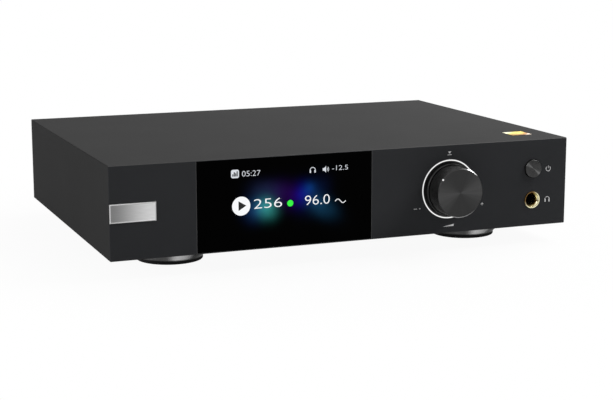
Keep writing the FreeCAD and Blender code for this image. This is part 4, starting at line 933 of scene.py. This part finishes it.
# ---------------------------------------------------------------- name plate, left bare
def framed_plate(lo, hi, y_front, y_back, rim, sunk):
    """A plate with a raised, bevelled rim round a sunk field, between two corners of a box."""
    bm = bmesh.new()
    levels = [(0, y_back), (0, y_front + 0.2), (0.2, y_front), (rim - 0.15, y_front), (rim, y_front + sunk)]
    loops = []
    for inset, y in levels:
        left, right = lo.x + inset * MM, hi.x - inset * MM
        low, high = lo.z + inset * MM, hi.z - inset * MM
        corners = ((left, low), (right, low), (right, high), (left, high))
        loops.append([bm.verts.new((x, FRONT + y * MM, z)) for x, z in corners])
    for a, b in zip(loops, loops[1:]):
        for k in range(4):
            bm.faces.new((a[k], a[(k + 1) % 4], b[(k + 1) % 4], b[k]))
    bm.faces.new(loops[0])
    bm.faces.new(loops[-1])
    return to_mesh(bm, 20)


plate = framed_plate(*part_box("badge_plate"), y_front=-0.35, y_back=0.65, rim=0.7, sunk=0.12)
add_piece("badge_blank", plate, FINISHES["badge_metal"], nodes=["badge_plate"])

# ---------------------------------------------------------------- what the screen shows
SCREEN_FACE = FRONT - 0.03 * MM
OVER_SCREEN = SCREEN_FACE - PRINT_MM * MM
WHITE = lit("screen_white", (0.97, 0.98, 1.0))
DIM = lit("screen_dim", (0.72, 0.75, 0.80))
GREEN = lit("screen_green", (0.0, 0.95, 0.02))
BLACK = moulded("screen_black", grey(2), grey(4), 0.4, 0.3)

icon_x, icon_z = -66.8, 41.65
add_piece("level_icon", flat_mesh([slab(icon_x, icon_z, 4.4, 4.5, 1.0)], SCREEN_FACE), DIM)
level_bars = []
for across, tall in ((-1.2, 1.3), (-0.4, 2.4), (0.4, 1.8), (1.2, 2.8)):
    level_bars.append(slab(icon_x + across, icon_z - 1.4 + tall / 2, 0.6, tall, 0.2))
add_piece("level_icon_bars", flat_mesh(level_bars, OVER_SCREEN), BLACK)
figures("clock_figures", "05:27", -62.9, -52.6, 40.0, 42.9, DIM, SCREEN_FACE)
small_phones = [
    band(-22.75, 40.9, 1.5, 0.36, 0, 180), slab(-24.1, 40.2, 0.8, 1.5, 0.3), slab(-21.4, 40.2, 0.8, 1.5, 0.3),
]
add_piece("headphone_icon", flat_mesh(small_phones, SCREEN_FACE), DIM)
speaker = [
    [(-16.9, 40.2), (-16.1, 40.2), (-15.0, 39.1), (-15.0, 42.7), (-16.1, 41.6), (-16.9, 41.6)],
    band(-15.2, 40.9, 1.0, 0.3, -45, 45, 10), band(-15.2, 40.9, 1.75, 0.3, -45, 45, 12),
]
add_piece("speaker_icon", flat_mesh(speaker, SCREEN_FACE), DIM)
figures("level_figures", "-12.5", -11.4, -2.2, 40.0, 42.6, DIM, SCREEN_FACE)

add_piece("source_disc", flat_mesh([disc(-63.5, 24.2, 5.1, 72)], SCREEN_FACE), WHITE)
play_arrow = [(-65.0, 21.7), (-65.0, 26.9), (-60.6, 24.3)]
add_piece("source_mark", flat_mesh([play_arrow], OVER_SCREEN), BLACK)
figures("word_length", "256", -56.4, -40.4, 22.2, 27.3, WHITE, SCREEN_FACE)
add_piece("lock_dot", flat_mesh([disc(-35.7, 23.8, 1.75, 40)], SCREEN_FACE), GREEN)
figures("rate_figures", "96.0", -27.2, -12.8, 22.0, 27.2, WHITE, SCREEN_FACE)

wave_start, wave_long, wave_mid, wave_high, wave_steps = -9.6, 6.2, 23.0, 1.1, 24
wave_points = []
for k in range(wave_steps + 1):
    part = k / wave_steps
    wave_points.append((wave_start + wave_long * part, wave_mid + wave_high * math.sin(2 * math.pi * part)))
wave = [bar(*here, *there, 0.42) for here, there in zip(wave_points, wave_points[1:])]
add_piece("wave_icon", flat_mesh(wave, SCREEN_FACE), WHITE)

# ---------------------------------------------------------------- marks printed on the fascia
PRINT_FACE = FRONT - PRINT_MM * MM
INK = panel_ink(242)
knob_x = KNOB.x / MM
less_and_more = [
    disc(knob_x - 18.0, 15.05, 0.35, 20), slab(knob_x - 20.7, 15.05, 2.0, 0.28, 0.1),
    disc(knob_x + 18.0, 15.05, 0.35, 20), slab(knob_x + 21.15, 15.05, 1.7, 0.32, 0.1),
    slab(knob_x + 21.15, 15.05, 0.32, 1.7, 0.1),
]
press_arrow = [(knob_x - 1.0, 46.2), (knob_x + 1.0, 46.2), (knob_x, 44.9)]
press_mark = [press_arrow, slab(knob_x, 44.35, 2.6, 0.3, 0.1)]
loudness_wedge = [(knob_x - 3.4, 3.7), (knob_x + 3.4, 3.7), (knob_x + 3.4, 4.9)]
add_piece("knob_marks", flat_mesh(less_and_more + press_mark + [loudness_wedge], PRINT_FACE), INK)
power_x, power_z = 123.15, 32.7
power = [band(power_x, power_z - 0.1, 1.42, 0.3, -228, 48, 36), slab(power_x, power_z + 0.95, 0.3, 1.4, 0.1)]
add_piece("power_mark", flat_mesh(power, PRINT_FACE), INK)
phones_x, phones_z = 123.05, 15.0
phones = [band(phones_x, phones_z - 0.2, 1.45, 0.3, 0, 180)]
for side in (-1.3, 1.3):
    phones.append(slab(phones_x + side, phones_z - 0.95, 0.72, 1.6, 0.25))
add_piece("headphone_mark", flat_mesh(phones, PRINT_FACE), INK)


# ---------------------------------------------------------------- marks printed on the rear panel
def outline_frame(x, z, wide, tall, corner=1.2, width=0.22):
    """The outline of a thin frame with round corners."""
    outer = slab(x, z, wide, tall, corner)
    inner = slab(x, z, wide - 2 * width, tall - 2 * width, corner - width)
    return outer + outer[:1] + inner[:1] + inner[:0:-1]


def middle(node):
    """The middle of a node across the panel, and its height above the case's underside."""
    at = centre(node)
    return at.x / MM, (at.z - CASE_Z0) / MM


rear_marks = []
numbered = []
for k, (lo, hi) in enumerate(reversed(separate_solids("xlr_shells"))):
    numbered.append((str(1 + k), (lo.x + hi.x) / 2 / MM, 43.0))
for k, (lo, hi) in enumerate(reversed(separate_solids("phono_blocks"))):
    x = (lo.x + hi.x) / 2 / MM
    rear_marks.append(outline_frame(x, 26.4, 17.5, 37.6))
    numbered += [(str(3 + 2 * k), x + 6.6, 43.4), (str(4 + 2 * k), x + 6.6, 9.4)]
for k, (lo, hi) in enumerate(reversed(separate_solids("optical_sockets"))):
    numbered.append((str(7 + k), (lo.x + hi.x) / 2 / MM, 23.6))
x, z = middle("usb_socket")
rear_marks.append(outline_frame(x, z + 0.6, 15.5, 14.5))
x, z = middle("antenna_socket")
rear_marks += [band(x, 43.2, radius, 0.3, 40, 140, 12) for radius in (0.9, 1.7, 2.5)]
x, z = middle("rocker_frame")
rear_marks += [bar(x, z + 13.4, x, z + 15.4, 0.4), band(x, z - 14.4, 0.9, 0.32, 0, 360, 24)]
add_piece("rear_marks", flat_mesh(rear_marks, REAR), INK)
for k, (number, x, z) in enumerate(numbered):
    half = 0.3 if number == "1" else 0.65
    figures("rear_number_%d" % (k + 1), number, x - half, x + half, z - 1.1, z + 1.1, INK, REAR, behind=True)


# ---------------------------------------------------------------- screws of the case
def whole_screw(radius, tall, key, shank_radius, shank_long, axis, head_down=False):
    """A screw whose seat is at the origin and whose head points along +axis, or down."""
    shank_profile = [
        (0, 0.05), (shank_radius, 0.05), (shank_radius, -shank_long + 0.6), (shank_radius - 0.5, -shank_long),
        (0, -shank_long),
    ]
    bm = bmesh.new()
    bm.from_mesh(socket_head(radius, tall, key, axis))
    bm.from_mesh(turned_mesh(shank_profile, axis=axis, steps=20))
    mesh = bpy.data.meshes.new("screw")
    bm.to_mesh(mesh)
    bm.free()
    if head_down:
        mesh.transform(Matrix.Rotation(math.pi, 4, "X"))
    return mesh


case_head, foot_head = 1.8, 2.6
rear_screws = [box for box in separate_solids("case_screws") if box[1].y > REAR]
base_screws = [box for box in separate_solids("case_screws") if box[1].y < REAR]
rear_seats = [((lo.x + hi.x) / 2, hi.y - case_head * MM, (lo.z + hi.z) / 2) for lo, hi in rear_screws]
rear_screw = whole_screw(2.75, case_head, 1.25, 1.45, 8.0, "Y")
repeat("rear_screws_finished", rear_screw, rear_seats, "case_screws", (0, 1, 0), 7)
base_screw = whole_screw(2.75, case_head, 1.25, 1.45, 6.2, "Z", head_down=True)
repeat("base_screws_finished", base_screw, standing(base_screws, case_head), "case_screws", (0, 0, 1), 8)
foot_screw = whole_screw(3.6, foot_head, 1.7, 1.95, 6.5, "Z", head_down=True)
foot_seats = standing(separate_solids("foot_screws"), foot_head)
repeat("foot_screws_finished", foot_screw, foot_seats, "foot_screws", (0, 0, 1), 9)

# ---------------------------------------------------------------- camera
camera = bpy.data.cameras.new("camera")
camera.lens = 85.87
camera.sensor_width = 36.0
viewer = bpy.data.objects.new("camera", camera)
bpy.context.collection.objects.link(viewer)
viewer.location = (-0.3143, -0.80925, 0.1828)
aim = Vector((0.01228, 0.00275, 0.01547)) - viewer.location
viewer.rotation_euler = aim.to_track_quat("-Z", "Y").to_euler()
bpy.context.scene.camera = viewer


# ---------------------------------------------------------------- light, world and floor
def lamp(name, at, toward, size, power_w):
    """A soft square light."""
    light = bpy.data.lights.new(name, "AREA")
    light.shape = "RECTANGLE"
    light.size, light.size_y = size
    light.energy = power_w
    held = bpy.data.objects.new(name, light)
    bpy.context.collection.objects.link(held)
    held.location = at
    held.rotation_euler = (Vector(toward) - Vector(at)).to_track_quat("-Z", "Y").to_euler()


lamp("above", (0.7, 0.02, 0.7), (0, 0, 0), (0.9, 0.4), 20.0)
lamp("left", (-1.3, 0.0, 0.55), (0, 0, 0.03), (0.8, 0.8), 11.0)


def seen(tree):
    """What the eye sees directly, and what a reflection or a clear piece sees, each as 0 or 1."""
    eye = tree.node("ShaderNodeLightPath", {}, [], "Is Camera Ray")
    ways = eye.socket.node.outputs
    glossy = Signal(tree, ways["Is Glossy Ray"])
    clear = Signal(tree, ways["Is Transmission Ray"])
    return eye, glossy.maths("MAXIMUM", glossy, clear)


class Surround(Finish):
    """The world, with nodes made the same way as a finish's."""

    def __init__(self):
        world = bpy.data.worlds.new("surround")
        bpy.context.scene.world = world
        world.use_nodes = True
        self.tree = world.node_tree
        self.tree.nodes.clear()
        self.out = self.tree.nodes.new("ShaderNodeOutputWorld")


def light_the_room():
    """White to the eye, an even grey light, and in reflections a room that is bright above and behind."""
    sky = Surround()
    eye, mirrored = seen(sky)
    toward = sky.node("ShaderNodeTexCoord", {}, [], "Generated")
    to_back, to_top = [sky.node("ShaderNodeSeparateXYZ", {}, [toward], k) for k in (1, 2)]
    overhead = to_top.ramp(0.15, 0.75) + to_back.ramp(-0.1, 0.4) * 0.9
    bright = overhead.maths("MINIMUM", overhead, 1.0)
    reflected = sky.blend(bright, (0.22, 0.22, 0.23), (1.0, 1.0, 1.0))
    room = sky.blend(mirrored, (0.222, 0.22, 0.224), reflected)
    tone = sky.blend(eye, room, (1.0, 1.0, 1.0))
    backdrop = sky.node("ShaderNodeBackground", {}, {"Color": tone, "Strength": 1.0})
    sky.feed(sky.out.inputs["Surface"], backdrop)


def pale_floor():
    """A floor that is nearly white to the eye, and a dimmer one near the object for its reflections."""
    f = Finish("pale_floor")
    across, along = f.axes()[:2]
    away = (across * across + along * along) ** 0.5
    soft = f.noise(40.0, 2.0)
    paper_tone = f.blend(soft, (0.46, 0.46, 0.46), (0.49, 0.49, 0.49))
    paper = f.node("ShaderNodeBsdfDiffuse", {}, {"Color": paper_tone})
    shining = f.node("ShaderNodeEmission", {}, {"Color": (1, 1, 1), "Strength": 1.0})
    eye, mirrored = seen(f)
    share = eye * (0.94 + away.ramp(100.0, 260.0) * 0.06) + mirrored * (0.35 + away.ramp(200.0, 900.0) * 0.65)
    f.feed(f.out.inputs["Surface"], f.node("ShaderNodeMixShader", {}, [share, paper, shining]))
    return f.material


light_the_room()
floor_half = 6
corners = [(x * floor_half, y * floor_half, 0) for x, y in ((-1, -1), (1, -1), (1, 1), (-1, 1))]
floor_mesh = bpy.data.meshes.new("floor")
floor_mesh.from_pydata(corners, [], [(0, 1, 2, 3)])
floor_mesh.materials.append(pale_floor())
floor = bpy.data.objects.new("floor", floor_mesh)
bpy.context.collection.objects.link(floor)

bpy.context.scene.view_settings.view_transform = "Standard"
